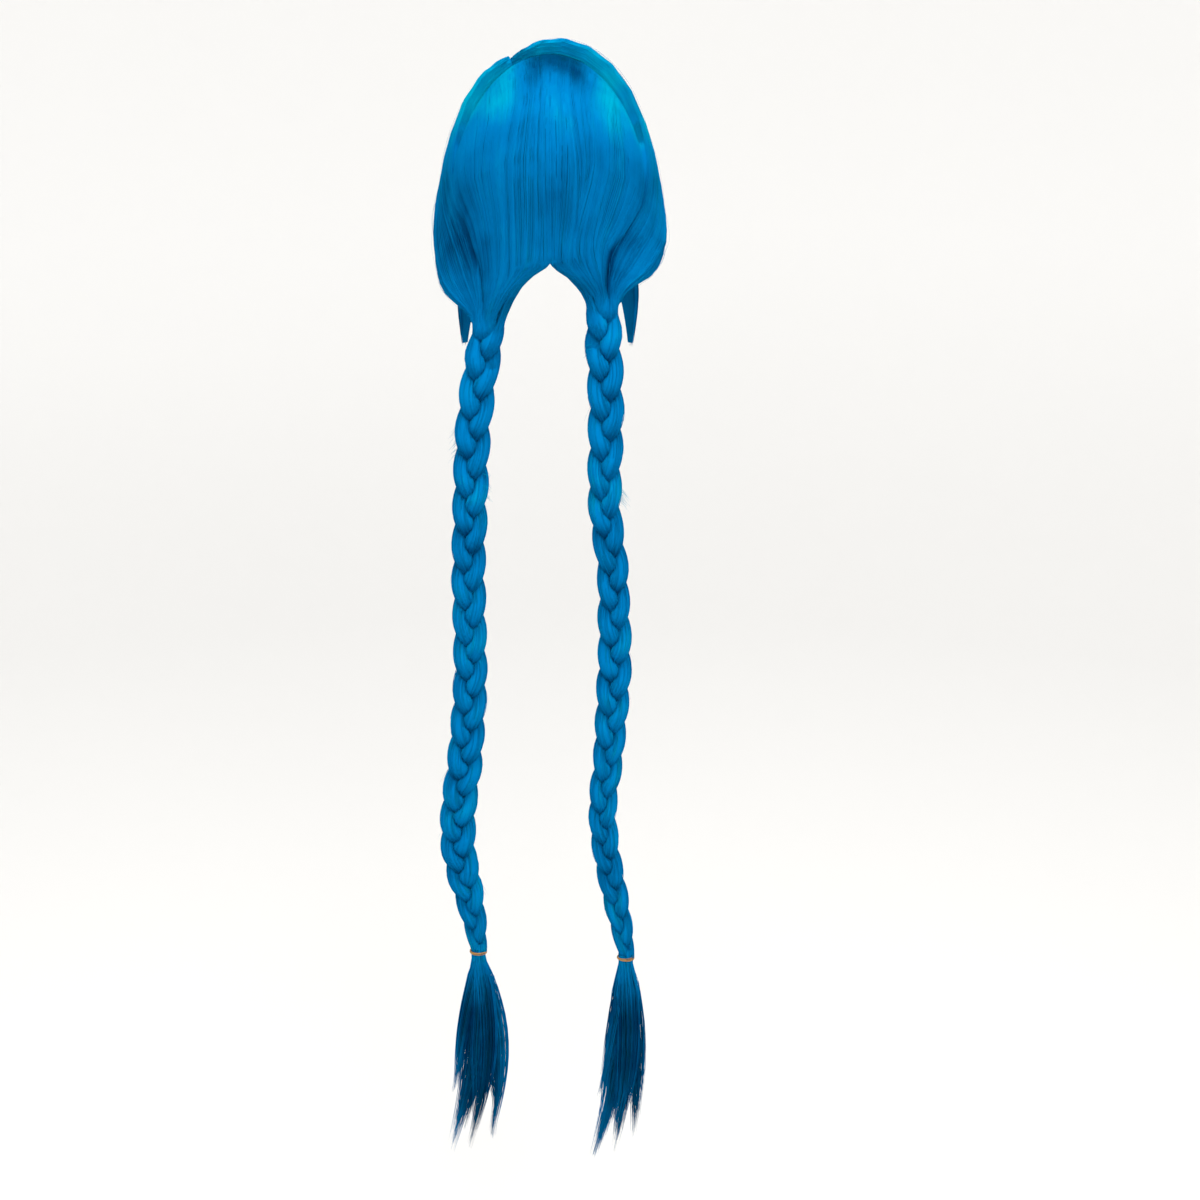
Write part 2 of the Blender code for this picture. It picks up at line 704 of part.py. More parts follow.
def make_tail(name, gather, material):
    """Loose end of a braid: locks fused to the neck that the hair tie holds."""
    top = braid_centre(gather, 1.0) - Vector((0, 0, JOIN_GAP))
    points = []
    for row in NECK_ROWS:
        centre = top - Vector((0, 0, row.drop * NECK_LENGTH))
        points += ellipse_ring(centre, NECK_WIDTH / 2 * row.girth, NECK_THICKNESS / 2 * row.girth, TIE_STEPS)
    tail = mesh_object(name, points, tube_faces(len(NECK_ROWS), TIE_STEPS), material)
    root = top - Vector((0, 0, NECK_LENGTH))
    for row in TAIL_LOCKS:
        lock = tail_lock(row, gather, root, material)
        lock.hide_render = True
        lock.display_type = "WIRE"
        fuse = tail.modifiers.new("fuse", "BOOLEAN")
        fuse.operation = "UNION"
        fuse.object = lock
    return tail


def main():
    clear_scene()
    hair = make_material("hair", HAIR_BLUE, 0.42)
    net = make_material("cap_net", CAP_BLUE, 0.80)
    elastic = make_material("elastic", TIE_TAN, 0.55)
    make_cap(net)
    make_back_hair(hair)
    make_side_hair("left_side_hair", LEFT, hair)
    make_side_hair("right_side_hair", RIGHT, hair)
    make_fringe(hair)
    make_face_lock("left_face_lock", LEFT, hair)
    make_face_lock("right_face_lock", RIGHT, hair)
    for side, gather in (("left", LEFT), ("right", RIGHT)):
        for number in range(3):
            make_strand(f"{side}_braid_strand_{number + 1}", gather, number, hair)
        make_tie(f"{side}_hair_tie", gather, elastic)
        make_tail(f"{side}_tail", gather, hair)


main()
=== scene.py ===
import math
from collections import namedtuple
from dataclasses import dataclass

import bpy
import numpy as np
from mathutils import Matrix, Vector


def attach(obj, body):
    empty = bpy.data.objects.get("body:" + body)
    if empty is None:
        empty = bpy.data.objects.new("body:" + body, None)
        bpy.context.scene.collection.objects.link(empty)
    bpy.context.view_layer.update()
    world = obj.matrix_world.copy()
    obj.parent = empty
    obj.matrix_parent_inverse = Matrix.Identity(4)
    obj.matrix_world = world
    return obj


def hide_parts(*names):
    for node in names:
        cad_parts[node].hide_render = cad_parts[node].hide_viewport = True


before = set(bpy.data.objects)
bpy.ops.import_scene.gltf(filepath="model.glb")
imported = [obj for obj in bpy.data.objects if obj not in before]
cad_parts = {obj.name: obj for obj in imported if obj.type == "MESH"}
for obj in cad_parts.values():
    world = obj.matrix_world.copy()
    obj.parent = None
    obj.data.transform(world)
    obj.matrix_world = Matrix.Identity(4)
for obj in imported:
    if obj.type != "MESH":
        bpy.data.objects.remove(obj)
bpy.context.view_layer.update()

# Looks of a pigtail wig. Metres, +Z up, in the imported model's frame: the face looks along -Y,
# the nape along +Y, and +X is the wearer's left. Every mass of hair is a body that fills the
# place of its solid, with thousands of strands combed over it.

TAU = 2 * math.pi

# The head under the cap, and the hair's clearances, as in the solids
HEAD_WIDTH = 0.154
HEAD_DEPTH = 0.194
DOME_HEIGHT = 0.105
NAPE_TAPER = 0.08
CAP_WALL = 0.0015
NEST_GAP = 0.0012
HAIR_THICKNESS = 0.018
EDGE_SHARE = 0.45
SEAM_SHARE = 0.81  # strands close most of the groove between the back hair and the side hair
CROWN_LINE = 0.13
PARTING = 0.27
HAIRLINE = 0.63
FACE_LOCK_LENGTH = 0.188

# Braids and tails, as in the solids
BRAID_LENGTH = 0.62
BRAID_WIDTH = 0.0335
BRAID_THICKNESS = 0.0265
LOBE_SPACING_TOP = 0.038
LOBE_SPACING_END = 0.0298
BRAID_SWAY = 0.034
BRAID_DRIFT = 0.056
TAIL_LENGTH = 0.212
TAIL_SPREAD = 0.03
NECK_WIDTH = 0.015
NECK_THICKNESS = 0.0125
NECK_LENGTH = 0.0075
TIE_CORD = 0.0026

Gather = namedtuple("Gather", "side azimuth level length phase bulge flare roots")
LEFT = Gather(side=1, azimuth=43, level=2.26, length=0.985, phase=13, bulge=1, flare=1.3, roots=3)
RIGHT = Gather(side=-1, azimuth=35, level=2.08, length=1.018, phase=72, bulge=0.5, flare=1, roots=8)
MEAN_AZIMUTH = 39
MEAN_LEVEL = 2.24

# Cap rim: azimuth from the nape, level
CAP_RIM = [(0, 1.56), (32, 1.52), (62, 1.32), (90, 1.08), (120, 1.02), (150, 0.8), (180, 0.74)]

# Back hair: nape level and azimuth, half level and azimuth, seam level and azimuth, lift,
# thickness, pull towards its own gather
BACK_ROWS = [
    (0.13, 0, 0.42, 70, 0.77, 80, 0, 0.36, 0),
    (0.5, 0, 0.66, 38, 0.98, 74, 0.08, 0.8, 0),
    (0.9, 0, 0.98, 35, 1.2, 70, 0.08, 0.94, 0),
    (1.3, 0, 1.34, 30, 1.44, 56, 0.08, 1, 0.2),
    (1.62, 0, 1.67, 27, 1.7, 45.5, 0.14, 1, 0.7),
    (1.76, 0, 1.88, 27.5, 1.9, 41, 0.16, 1.04, 0.9),
    (1.96, 16.5, 2.06, 31, 2.08, 39, 0.1, 1.16, 1),
    (2.24, 30, 2.24, 34.5, 2.24, 39, 0.04, 1.3, 1),
]
ARCH = 5 / 7

# Side hair: ear level and azimuth, front level and azimuth, lift, thickness
SIDE_ROWS = [
    (0.84, 108, 1.02, 127.5, 0.5, 1.08),
    (1.06, 103, 1.2, 124, 0.78, 1.06),
    (1.28, 96, 1.38, 118, 0.96, 1.02),
    (1.52, 86, 1.58, 110, 1.08, 0.98),
    (1.76, 72, 1.8, 96, 1.08, 0.98),
    (1.96, 59, 2, 78, 0.98, 1.06),
    (2.1, 49, 2.12, 61, 0.6, 1.18),
    (2.24, 43.2, 2.24, 48, 0.12, 1.3),
]

# Thickness of the side hair from the parting: share, left, right
ROOT_ROWS = [
    (0, 0.9, 0.74),
    (0.12, 1.06, 0.98),
    (0.26, 1.12, 1.2),
    (0.48, 1.15, 1.28),
    (0.7, 1.14, 1.2),
    (1, 1.08, 1.06),
]

# Fringe: middle level, side level, side azimuth, lift, thickness
FRINGE_ROWS = [
    (0.65, 0.78, 147, -0.045, 0.72),
    (0.82, 0.92, 149, 0.04, 0.62),
    (0.98, 1.03, 151, 0.1, 0.44),
    (1.1, 1.1, 153, 0.16, 0.16),
]
FRINGE_LOCKS = 5
FRINGE_SWEEP = 9
FRINGE_TIP = 0.1

# Face locks: drop, back and front azimuth, how much lower the back edge and the middle lie,
# lift, thickness
LOCK_ROWS = [
    (0, 131.5, 144.5, 0.23, 0.09, -0.045, 0.55),
    (0.2, 129.5, 145, 0.13, 0.05, 0.24, 0.64),
    (0.45, 123, 141, 0, 0, 0.72, 0.64),
    (0.7, 114.5, 131, 0, 0, 1.08, 0.56),
    (1, 109, 115, 0, 0, 0.98, 0.12),
]

# The braids' way down: share, left sway, right sway, drift backwards
BRAID_WAY = [
    (0, 0, 0, 0),
    (0.08, 0.27, 0.06, 0.17),
    (0.17, 0.46, 0.11, 0.33),
    (0.3, 0.56, 0.09, 0.53),
    (0.4, 0.6, 0.32, 0.65),
    (0.55, 0.57, 0.37, 0.8),
    (0.68, 0.74, 0.22, 0.9),
    (0.77, 0.95, 0.07, 0.94),
    (0.84, 0.93, 0.21, 0.96),
    (0.92, 0.64, 0.5, 0.98),
    (1, 0.41, 0.77, 1),
]

# Girth of the braids: share, left, right
BRAID_GIRTH = [
    (0, 0.9, 0.9),
    (0.06, 1, 1),
    (0.4, 0.92, 0.86),
    (0.55, 0.93, 0.94),
    (0.72, 1, 0.8),
    (0.88, 0.95, 0.76),
    (0.96, 0.68, 0.64),
    (1, 0.48, 0.48),
]

# Locks of a tail: bulge, tip, depth, length, girth
TAIL_LOCKS = [
    (0, 0.98, 0.05, 1, 1),
    (-0.45, 0.36, 0.3, 0.96, 0.92),
    (-0.78, -0.36, -0.2, 0.93, 0.78),
    (0.34, 0.84, 0.16, 0.68, 0.66),
    (-0.25, 0.52, -0.4, 0.9, 0.88),
]
TAIL_SECTIONS = [(0, 0.62), (0.12, 1.02), (0.36, 1.08), (0.6, 0.94), (0.82, 0.72), (1, 0.5)]
TAIL_LOCK_WIDTH = 0.0205
TAIL_LOCK_DEPTH = 0.0145
TAIL_STRAND_WIDTH = 0.0011

# Strands
STRAND_WIDTH = 0.00105
STRAND_FLATNESS = 0.55
STRAND_SIDES = 3
RIM_SHARE = 0.07  # of a panel's strands, on each of its two edges
STRAND_WANDER = 0.0022  # of a panel's width
LAYER_DEPTH = 0.0005
BODY_DEPTH = 0.0011  # of a panel's body below its outermost strands

# Crevices between locks, painted as dark strands that stand in for their shade: shares of the panel's
# run at which they start and over which they go
CREVICE_STARTS = (0.22, 0.74)
CREVICE_RUNS = (0.06, 0.2)
CREVICE_WIDTH = 0.5  # of a strand's width
CREVICE_PAINTED_SHADOW = -2.2

# Colours from tone to tone, where the tone holds painted light and shade as well as the hair's own,
# and how much the tone differs from lock to lock and strand to strand
DEEP = (0, 0.026, 0.1)
MIDDLE = (0, 0.142, 0.375)
LIGHT = (0, 0.33, 0.48)
BIG_TONES = 0.35
TONE_STEP = 0.13  # of the way from DEEP to LIGHT for a tone of 1
SMALL_TONES = 0.2
STRAND_TONES = 0.24
# Painted shade between locks and in the lowest layer of strands
DEEP_PAINTED_SHADE = 0.2  # how much darker the strands lie between two locks and in the lowest layer
# Painted highlight on the strands along a panel's two edges
EDGE_PAINTED_HIGHLIGHT = 0.6
# Painted shade on each braid strand where it dips under the others
BRAID_PAINTED_SHADE = 2
# Painted shade that darkens the tails below the hair tie
TAIL_PAINTED_SHADE = -3.2

# Painted light of the head's hair by its height: a painted highlight band round the crown and painted
# shade lower down; and the painted shadow on the back hair under the raised ridge, by its v
PAINTED_LIGHT_BY_HEIGHT = [
    (-0.3, -0.2), (-0.2, -0.6), (-0.12, -0.5), (-0.096, 0), (-0.076, 1.2), (-0.05, 2.3),
    (-0.026, 2.4), (-0.005, 1.8), (0.03, 1.5),
]
PAINTED_RIDGE_SHADOW = [(0, -5), (0.11, -5), (0.15, -3.2), (0.19, -1), (0.23, 0), (1, 0)]
# Painted shade on the head's flanks: they are painted darker than its back, below the highlight band
FLANK_PAINTED_SHADE = 0.3  # how much darker the head's flanks are than its back
FLANK_FROM = 0.06
FLANK_RUN = 0.05
HEIGHT_LEAN = 0.225  # of the height's direction, towards the back


def smooth_step(x):
    x = np.clip(x, 0, 1)
    return x * x * (3 - 2 * x)


def spline(rows, share):
    """Smooth value of each column of rows at shares of their run, 0 to 1."""
    rows = np.asarray(rows, float)
    place = np.clip(share, 0, 1) * (len(rows) - 1)
    i = np.minimum(place.astype(int), len(rows) - 2)
    t = (place - i)[..., None]
    a = rows[np.maximum(i - 1, 0)]
    b = rows[i]
    c = rows[i + 1]
    d = rows[np.minimum(i + 2, len(rows) - 1)]
    bend = (2 * a - 5 * b + 4 * c - d) * t**2 + (3 * b - a - 3 * c + d) * t**3
    return 0.5 * (2 * b + (c - a) * t + bend)


def along(rows, share):
    """Smooth values between rows whose first column is the share at which each one holds."""
    rows = np.asarray(rows, float)
    at = rows[:, 0]
    share = np.clip(share, at[0], at[-1])
    i = np.clip(np.searchsorted(at, share) - 1, 0, len(rows) - 2)
    local = (share - at[i]) / (at[i + 1] - at[i])
    return spline(rows, (i + local) / (len(rows) - 1))


def for_side(rows, gather):
    """The column of the wearer's left or right side."""
    return rows[..., 1 if gather.side > 0 else 2]


def on_map(level, azimuth):
    angle = np.radians(azimuth)
    return np.stack([level * np.sin(angle), level * np.cos(angle)], -1)


def level_way(turn):
    """Level directions at angles from +X."""
    return np.stack([np.cos(turn), np.sin(turn), np.zeros_like(turn)], -1)


def head_points(place, offset):
    """Points at an offset outside the head, at places on the flat map of it."""
    level = np.linalg.norm(place, axis=-1)
    azimuth = np.arctan2(place[..., 0], place[..., 1])
    dome = np.minimum(level, 1) * math.pi / 2
    below = np.maximum(level - 1, 0)
    girth = np.sin(dome) * (1 - NAPE_TAPER * below)
    x = (HEAD_WIDTH / 2 * girth + offset * np.sin(dome)) * np.sin(azimuth)
    y = (HEAD_DEPTH / 2 * girth + offset * np.sin(dome)) * np.cos(azimuth)
    z = (DOME_HEIGHT + offset) * np.cos(dome) - DOME_HEIGHT * (1 + below)
    return np.stack([x, y, z], -1)


def smoothed(values, reach):
    """Values along a guide line without kinks, with both ends kept."""
    kernel = np.hanning(2 * reach + 3)[1:-1]
    ahead = 2 * values[0] - values[reach:0:-1]
    after = 2 * values[-1] - values[-2 : -reach - 2 : -1]
    line = np.concatenate([ahead, values, after])
    return np.apply_along_axis(np.convolve, 0, line, kernel / kernel.sum(), "valid")


@dataclass
class Panel:
    """A sheet of hair on the head. u runs across it and v from its roots to its ends, 0 to 1."""

    lines: list
    lifts: np.ndarray
    thicks: np.ndarray
    seam_lifts: np.ndarray = None
    joined: float = None
    seam: float = None
    flush: float = 0
    notch: object = None

    def read(self, values, v):
        return np.interp(v, np.linspace(0, 1, len(values)), values)

    def place(self, u, v):
        a, m, b = [np.stack([self.read(way, v) for way in line.T], -1) for line in self.lines]
        w = u[..., None]
        place = a * (1 - w) * (1 - 2 * w) + m * 4 * w * (1 - w) + b * w * (2 * w - 1)
        return self.notch(place, u, v) if self.notch else place

    def depth(self, u, v):
        """Thickness of the hair: full in the middle, thinner at the seam and thin at free edges."""
        edge = u
        if self.joined:
            edge = u + (1 - u) / 2 * (1 - smooth_step((v - self.joined) * 12 + 0.5))
        share = EDGE_SHARE
        if self.seam is not None:
            full = SEAM_SHARE - EDGE_SHARE + self.flush * (1 - smooth_step((v - 0.16) / 0.28))
            share = share + full * smooth_step(1 - np.abs(u - self.seam) / 0.6)
        body = share + (1 - share) * np.sqrt(np.maximum(np.sin(math.pi * edge), 0))
        return self.read(self.thicks, v) * HAIR_THICKNESS * body

    def point(self, u, v, height):
        """Points at a height above the sheet's outer face."""
        lift = self.read(self.lifts, v)
        if self.seam_lifts is not None:
            seam = self.read(self.seam_lifts, v)
            lift = lift + (seam - lift) * np.maximum(np.cos(math.pi * u), 0)
        base = CAP_WALL + NEST_GAP + lift * HAIR_THICKNESS
        return head_points(self.place(u, v), base + self.depth(u, v) + height)

    def out(self, u, v):
        step = 0.002
        way = self.point(u, v, step) - self.point(u, v, 0)
        return way / np.linalg.norm(way, axis=-1, keepdims=True)


GUIDE_SAMPLES = 181


def back_lines(gather, v):
    row = spline(BACK_ROWS, v)
    turn = row[:, 8] * (gather.azimuth - MEAN_AZIMUTH)
    drop = row[:, 8] * (gather.level - MEAN_LEVEL)
    free = np.clip((v - ARCH) / (1 - ARCH), 0, 1)
    nape_az = np.where(free > 0, row[:, 1] + turn * smooth_step(free * 3), 0)
    nape = on_map(row[:, 0] + drop * free, gather.side * nape_az)
    half = on_map(row[:, 2] + drop, gather.side * (row[:, 3] + turn))
    seam = on_map(row[:, 4] + drop, gather.side * (row[:, 5] + turn))
    return nape, half, seam, row[:, 6], row[:, 7]


def back_panel(gather):
    nape, half, seam, lifts, thicks = back_lines(gather, np.linspace(0, 1, GUIDE_SAMPLES))
    # On the wearer's left the back hair rises to the side hair, and the seam hardly shows
    flush = 0.2 if gather.side > 0 else 0
    return Panel([nape, half, seam], lifts, thicks, joined=ARCH, seam=1, flush=flush)


def side_panel(gather):
    last = 2 * (len(SIDE_ROWS) - 1)
    over = gather.roots
    r = np.linspace(0, over + last, GUIDE_SAMPLES)
    v = np.clip((r - over) / last, 0, 1)
    mix = np.clip(r / over, 0, 1)
    _, _, seam, seam_lifts, _ = back_lines(gather, v)
    row = spline(SIDE_ROWS, v)
    pull = spline(BACK_ROWS, v)[:, 8]
    turn = pull * (gather.azimuth - MEAN_AZIMUTH)
    drop = pull * (gather.level - MEAN_LEVEL)
    ear = on_map(row[:, 0] + drop, gather.side * (row[:, 1] + turn))
    front = on_map(row[:, 2] + drop, gather.side * (row[:, 3] + turn))
    seam[:, 1] += (CROWN_LINE - seam[0, 1]) * np.clip(1 - (r - over), 0, 1)
    roots = [(PARTING, CROWN_LINE), (PARTING, (CROWN_LINE - HAIRLINE) / 2), (PARTING, -HAIRLINE)]
    reach = GUIDE_SAMPLES // (over + last)
    lines = []
    for root, line in zip(roots, (seam, ear, front)):
        lines.append(smoothed(np.array(root) * (1 - mix[:, None]) + line * mix[:, None], reach))
    root_thicks = for_side(along(ROOT_ROWS, mix), gather)
    thicks = smoothed(np.where(r < over, root_thicks, row[:, 5]), reach)
    lifts = smoothed(row[:, 4] * mix, reach)
    return Panel(lines, lifts, thicks, seam_lifts=smoothed(seam_lifts, reach), seam=0)


def fringe_panel():
    row = spline(FRINGE_ROWS, np.linspace(0, 1, GUIDE_SAMPLES))
    left = on_map(row[:, 1], row[:, 2])
    right = on_map(row[:, 1], -row[:, 2])
    middle = on_map(row[:, 0], np.full(len(row), 180))

    def notch(place, u, v):
        tip = 0.5 - 0.5 * np.cos(TAU * FRINGE_LOCKS * u)
        level = np.linalg.norm(place, axis=-1) + FRINGE_TIP * tip * v**3
        azimuth = np.degrees(np.arctan2(place[..., 0], place[..., 1]))
        return on_map(level, azimuth + FRINGE_SWEEP * v**2 * np.sin(math.pi * u))

    return Panel([left, middle, right], row[:, 3], row[:, 4], notch=notch)


def lock_panel(gather):
    row = spline(LOCK_ROWS, np.linspace(0, 1, GUIDE_SAMPLES))
    top = HAIRLINE / math.cos(math.radians(180 - LOCK_ROWS[0][2]))
    level = top + row[:, 0] * FACE_LOCK_LENGTH / DOME_HEIGHT
    back = on_map(level + row[:, 3], gather.side * row[:, 1])
    middle = on_map(level + row[:, 4], gather.side * (row[:, 1] + row[:, 2]) / 2)
    front = on_map(level, gather.side * row[:, 2])
    lifts = row[:, 5] * (1 + (gather.flare - 1) * row[:, 0])
    return Panel([back, middle, front], lifts, row[:, 6])


# A mesh in the making: points (n, 3), faces (m, 3 or 4), a UV for each face corner, whose u
# runs across the hair and v along it in metres, and a tone for each point
Part = namedtuple("Part", "points faces uvs tones")


def mesh_object(name, parts, material):
    points = np.concatenate([p.points for p in parts])
    tones = np.concatenate([p.tones for p in parts])
    corners, uvs, sizes = [], [], []
    start = 0
    for part in parts:
        corners.append((part.faces + start).ravel())
        uvs.append(part.uvs.reshape(-1, 2))
        sizes.append(np.full(len(part.faces), part.faces.shape[1]))
        start += len(part.points)
    corners = np.concatenate(corners)
    sizes = np.concatenate(sizes)
    mesh = bpy.data.meshes.new(name)
    mesh.vertices.add(len(points))
    mesh.vertices.foreach_set("co", points.astype(np.float32).ravel())
    mesh.loops.add(len(corners))
    mesh.loops.foreach_set("vertex_index", corners.astype(np.int32))
    mesh.polygons.add(len(sizes))
    mesh.polygons.foreach_set("loop_start", (np.cumsum(sizes) - sizes).astype(np.int32))
    mesh.update(calc_edges=True)
    layer = mesh.uv_layers.new(name="Comb")
    layer.uv.foreach_set("vector", np.concatenate(uvs).astype(np.float32).ravel())
    tone = mesh.attributes.new("tone", "FLOAT", "POINT")
    tone.data.foreach_set("value", tones.astype(np.float32))
    mesh.materials.append(material)
    mesh.shade_smooth()
    obj = bpy.data.objects.new(name, mesh)
    bpy.context.scene.collection.objects.link(obj)
    return obj


def make_piece(name, parts, look, *nodes):
    """A piece of the wig in a look's material, in place of its nodes. A look is a material and its
    slot; the slot is not used.
    """
    material, slot = look
    obj = mesh_object(name, parts, material)
    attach(obj, "root")
    if nodes:
        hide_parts(*nodes)


def tube_faces(index):
    """Faces of tubes whose points have these numbers (..., rows, sides)."""
    after = np.roll(index, -1, axis=-1)
    corners = [index[..., :-1, :], after[..., :-1, :], after[..., 1:, :], index[..., 1:, :]]
    return np.stack(corners, -1).reshape(-1, 4)


def tube_uvs(around, run):
    """UVs of tube_faces, for a u at each side and one more, and a v at each row (..., rows)."""
    shape = (*run.shape[:-1], run.shape[-1] - 1, len(around) - 1)
    u = np.stack([around[:-1], around[1:], around[1:], around[:-1]], -1)
    low = np.broadcast_to(run[..., :-1, None], shape)
    high = np.broadcast_to(run[..., 1:, None], shape)
    v = np.stack([low, low, high, high], -1)
    return np.stack([np.broadcast_to(u, v.shape), v], -1).reshape(-1, 4, 2)


def tubes(centres, ups, widths, tones):
    """Closed strands along centres (strands, steps, 3), flattened against what they lie on."""
    strands, steps, _ = centres.shape
    sides = STRAND_SIDES
    tangent = np.gradient(centres, axis=1)
    tangent /= np.linalg.norm(tangent, axis=-1, keepdims=True) + 1e-12
    across = np.cross(tangent, ups)
    across /= np.linalg.norm(across, axis=-1, keepdims=True) + 1e-12
    normal = np.cross(across, tangent)
    angle = TAU * (np.arange(sides) / sides + 0.25)
    half = np.broadcast_to(widths, (strands, steps))[..., None, None] / 2
    ring = across[:, :, None, :] * np.cos(angle)[:, None] * half
    ring = ring + normal[:, :, None, :] * np.sin(angle)[:, None] * half * STRAND_FLATNESS
    points = (centres[:, :, None, :] + ring).reshape(-1, 3)
    index = np.arange(strands * steps * sides).reshape(strands, steps, sides)
    length = np.linalg.norm(np.diff(centres, axis=1), axis=-1)
    run = np.concatenate([np.zeros((strands, 1)), np.cumsum(length, 1)], 1)
    around = np.arange(sides + 1) / sides
    tone = np.repeat(np.broadcast_to(tones, (strands, steps)).ravel(), sides)
    # The caps at the ends use the points of the part before them
    caps = np.concatenate([index[:, 0, ::-1], index[:, -1]])
    flat = np.zeros((len(caps), sides, 2))
    flat[..., 0] = around[:-1]
    return [
        Part(points, tube_faces(index), tube_uvs(around, run), tone),
        Part(np.zeros((0, 3)), caps - len(points), flat, np.zeros(0)),
    ]


def sheet_part(inner, outer, tones, width):
    """A closed wall between two grids of points (rows, columns, 3)."""
    rows, columns, _ = outer.shape
    count = rows * columns
    index = np.arange(count).reshape(rows, columns)
    corners = [index[:-1, :-1], index[:-1, 1:], index[1:, 1:], index[1:, :-1]]
    face = np.stack(corners, -1).reshape(-1, 4)
    rim = np.concatenate([index[0, :], index[1:, -1], index[-1, -2::-1], index[-2:0:-1, 0]])
    after = np.roll(rim, -1)
    wall = np.stack([after, rim, rim + count, after + count], -1)
    faces = np.concatenate([face, face[:, ::-1] + count, wall])
    points = np.concatenate([outer.reshape(-1, 3), inner.reshape(-1, 3)])
    run = np.linalg.norm(np.diff(outer, axis=0), axis=-1).mean(1)
    v = np.concatenate([[0], np.cumsum(run)])
    across = np.linspace(0, width, columns)
    grid = np.stack(np.broadcast_arrays(across[None, :], v[:, None]), -1).reshape(-1, 2)
    both = np.concatenate([grid, grid])
    tone = np.concatenate([tones.ravel(), tones.ravel()])
    return Part(points, faces, both[faces], tone)


def outward(part):
    """The same part with its faces turned outwards, judged by its signed volume."""
    a, b, c = [part.points[part.faces[:, k]] for k in range(3)]
    d = part.points[part.faces[:, -1]]
    if (np.cross(a, b) * c).sum() + (np.cross(a, c) * d).sum() > 0:
        return part
    return Part(part.points, part.faces[:, ::-1], part.uvs[:, ::-1], part.tones)


def locks(u, v, count, squeeze, sway, rng):
    """Strands at u drawn together into locks down v. Returns the shift of u, each strand's dip
    from its lock's middle, 0 to 1, and its lock's number."""
    edges = np.linspace(0, 1, count + 1)
    edges[1:-1] += rng.uniform(-0.32, 0.32, count - 1) / count
    swing = rng.uniform(-1, 1, count + 1) * sway / count
    swing[0] = 0
    swing[-1] = 0
    phase = rng.uniform(0, TAU, count + 1)
    pace = rng.uniform(0.5, 1.3, count + 1)
    k = np.clip(np.searchsorted(edges, u) - 1, 0, count - 1)
    s = (u - edges[k]) / (edges[k + 1] - edges[k])

    def edge(j):
        wave = np.sin(TAU * pace[j][:, None] * v + phase[j][:, None]) - np.sin(phase[j])[:, None]
        return edges[j][:, None] + swing[j][:, None] * wave

    low = edge(k)
    high = edge(k + 1)
    spot = 0.5 + (s[:, None] - 0.5) * (1 - squeeze * v)
    return low + (high - low) * spot - u[:, None], (2 * s - 1) ** 2, k


def painted_shading(points, u, v, hollows):
    """Painted light and shade of the head's hair: a painted highlight band round the crown, painted
    shade lower down and on the flanks, the painted shadow under the raised ridge, and painted shade in
    its hollows.
    """
    height = points[..., 2] - HEIGHT_LEAN * points[..., 1]
    at, value = np.array(PAINTED_LIGHT_BY_HEIGHT).T
    tone = np.interp(height, at, value)
    flank = smooth_step((np.abs(points[..., 0]) - FLANK_FROM) / FLANK_RUN)
    tone = tone - FLANK_PAINTED_SHADE * flank * smooth_step((-0.03 - height) / 0.05)
    if hollows and hollows.under_ridge:
        at, value = np.array(PAINTED_RIDGE_SHADOW).T
        low, high = hollows.under_ridge
        tone = tone + np.interp(v, at, value) * (1 - smooth_step((u - low) / (high - low)))
    return tone - (hollows.shade * dip_at(hollows, u, v) if hollows else 0)


# A hollow along one edge of a panel, with painted shade in it: where it lies, how wide it is,
# where it starts and ends down the panel, how deep it is and how dark its painted shade is, and
# between which shares of the panel's width the painted shadow of the raised ridge fades
Hollow = namedtuple("Hollow", "seam width start end depth shade under_ridge")
BACK_HOLLOWS = {
    1: Hollow(1, 0.16, 0.5, 0.86, 0.0015, 1.6, (0.12, 0.36)),
    -1: Hollow(1, 0.2, 0.5, 0.86, 0.0035, 2.8, (0.18, 0.5)),
}
SIDE_HOLLOWS = {
    1: Hollow(0, 0.3, 0.42, 0.64, 0.003, 1.6, None),
    -1: Hollow(0, 0.05, 0.5, 0.9, 0.001, 2, None),
}


def dip_at(hollows, u, v):
    """Share of a hollow's depth, 0 to 1."""
    across = np.exp(-(((u - hollows.seam) / hollows.width) ** 2))
    down = smooth_step((v - hollows.start) / 0.16) * (1 - smooth_step((v - hollows.end) / 0.1))
    return across * down


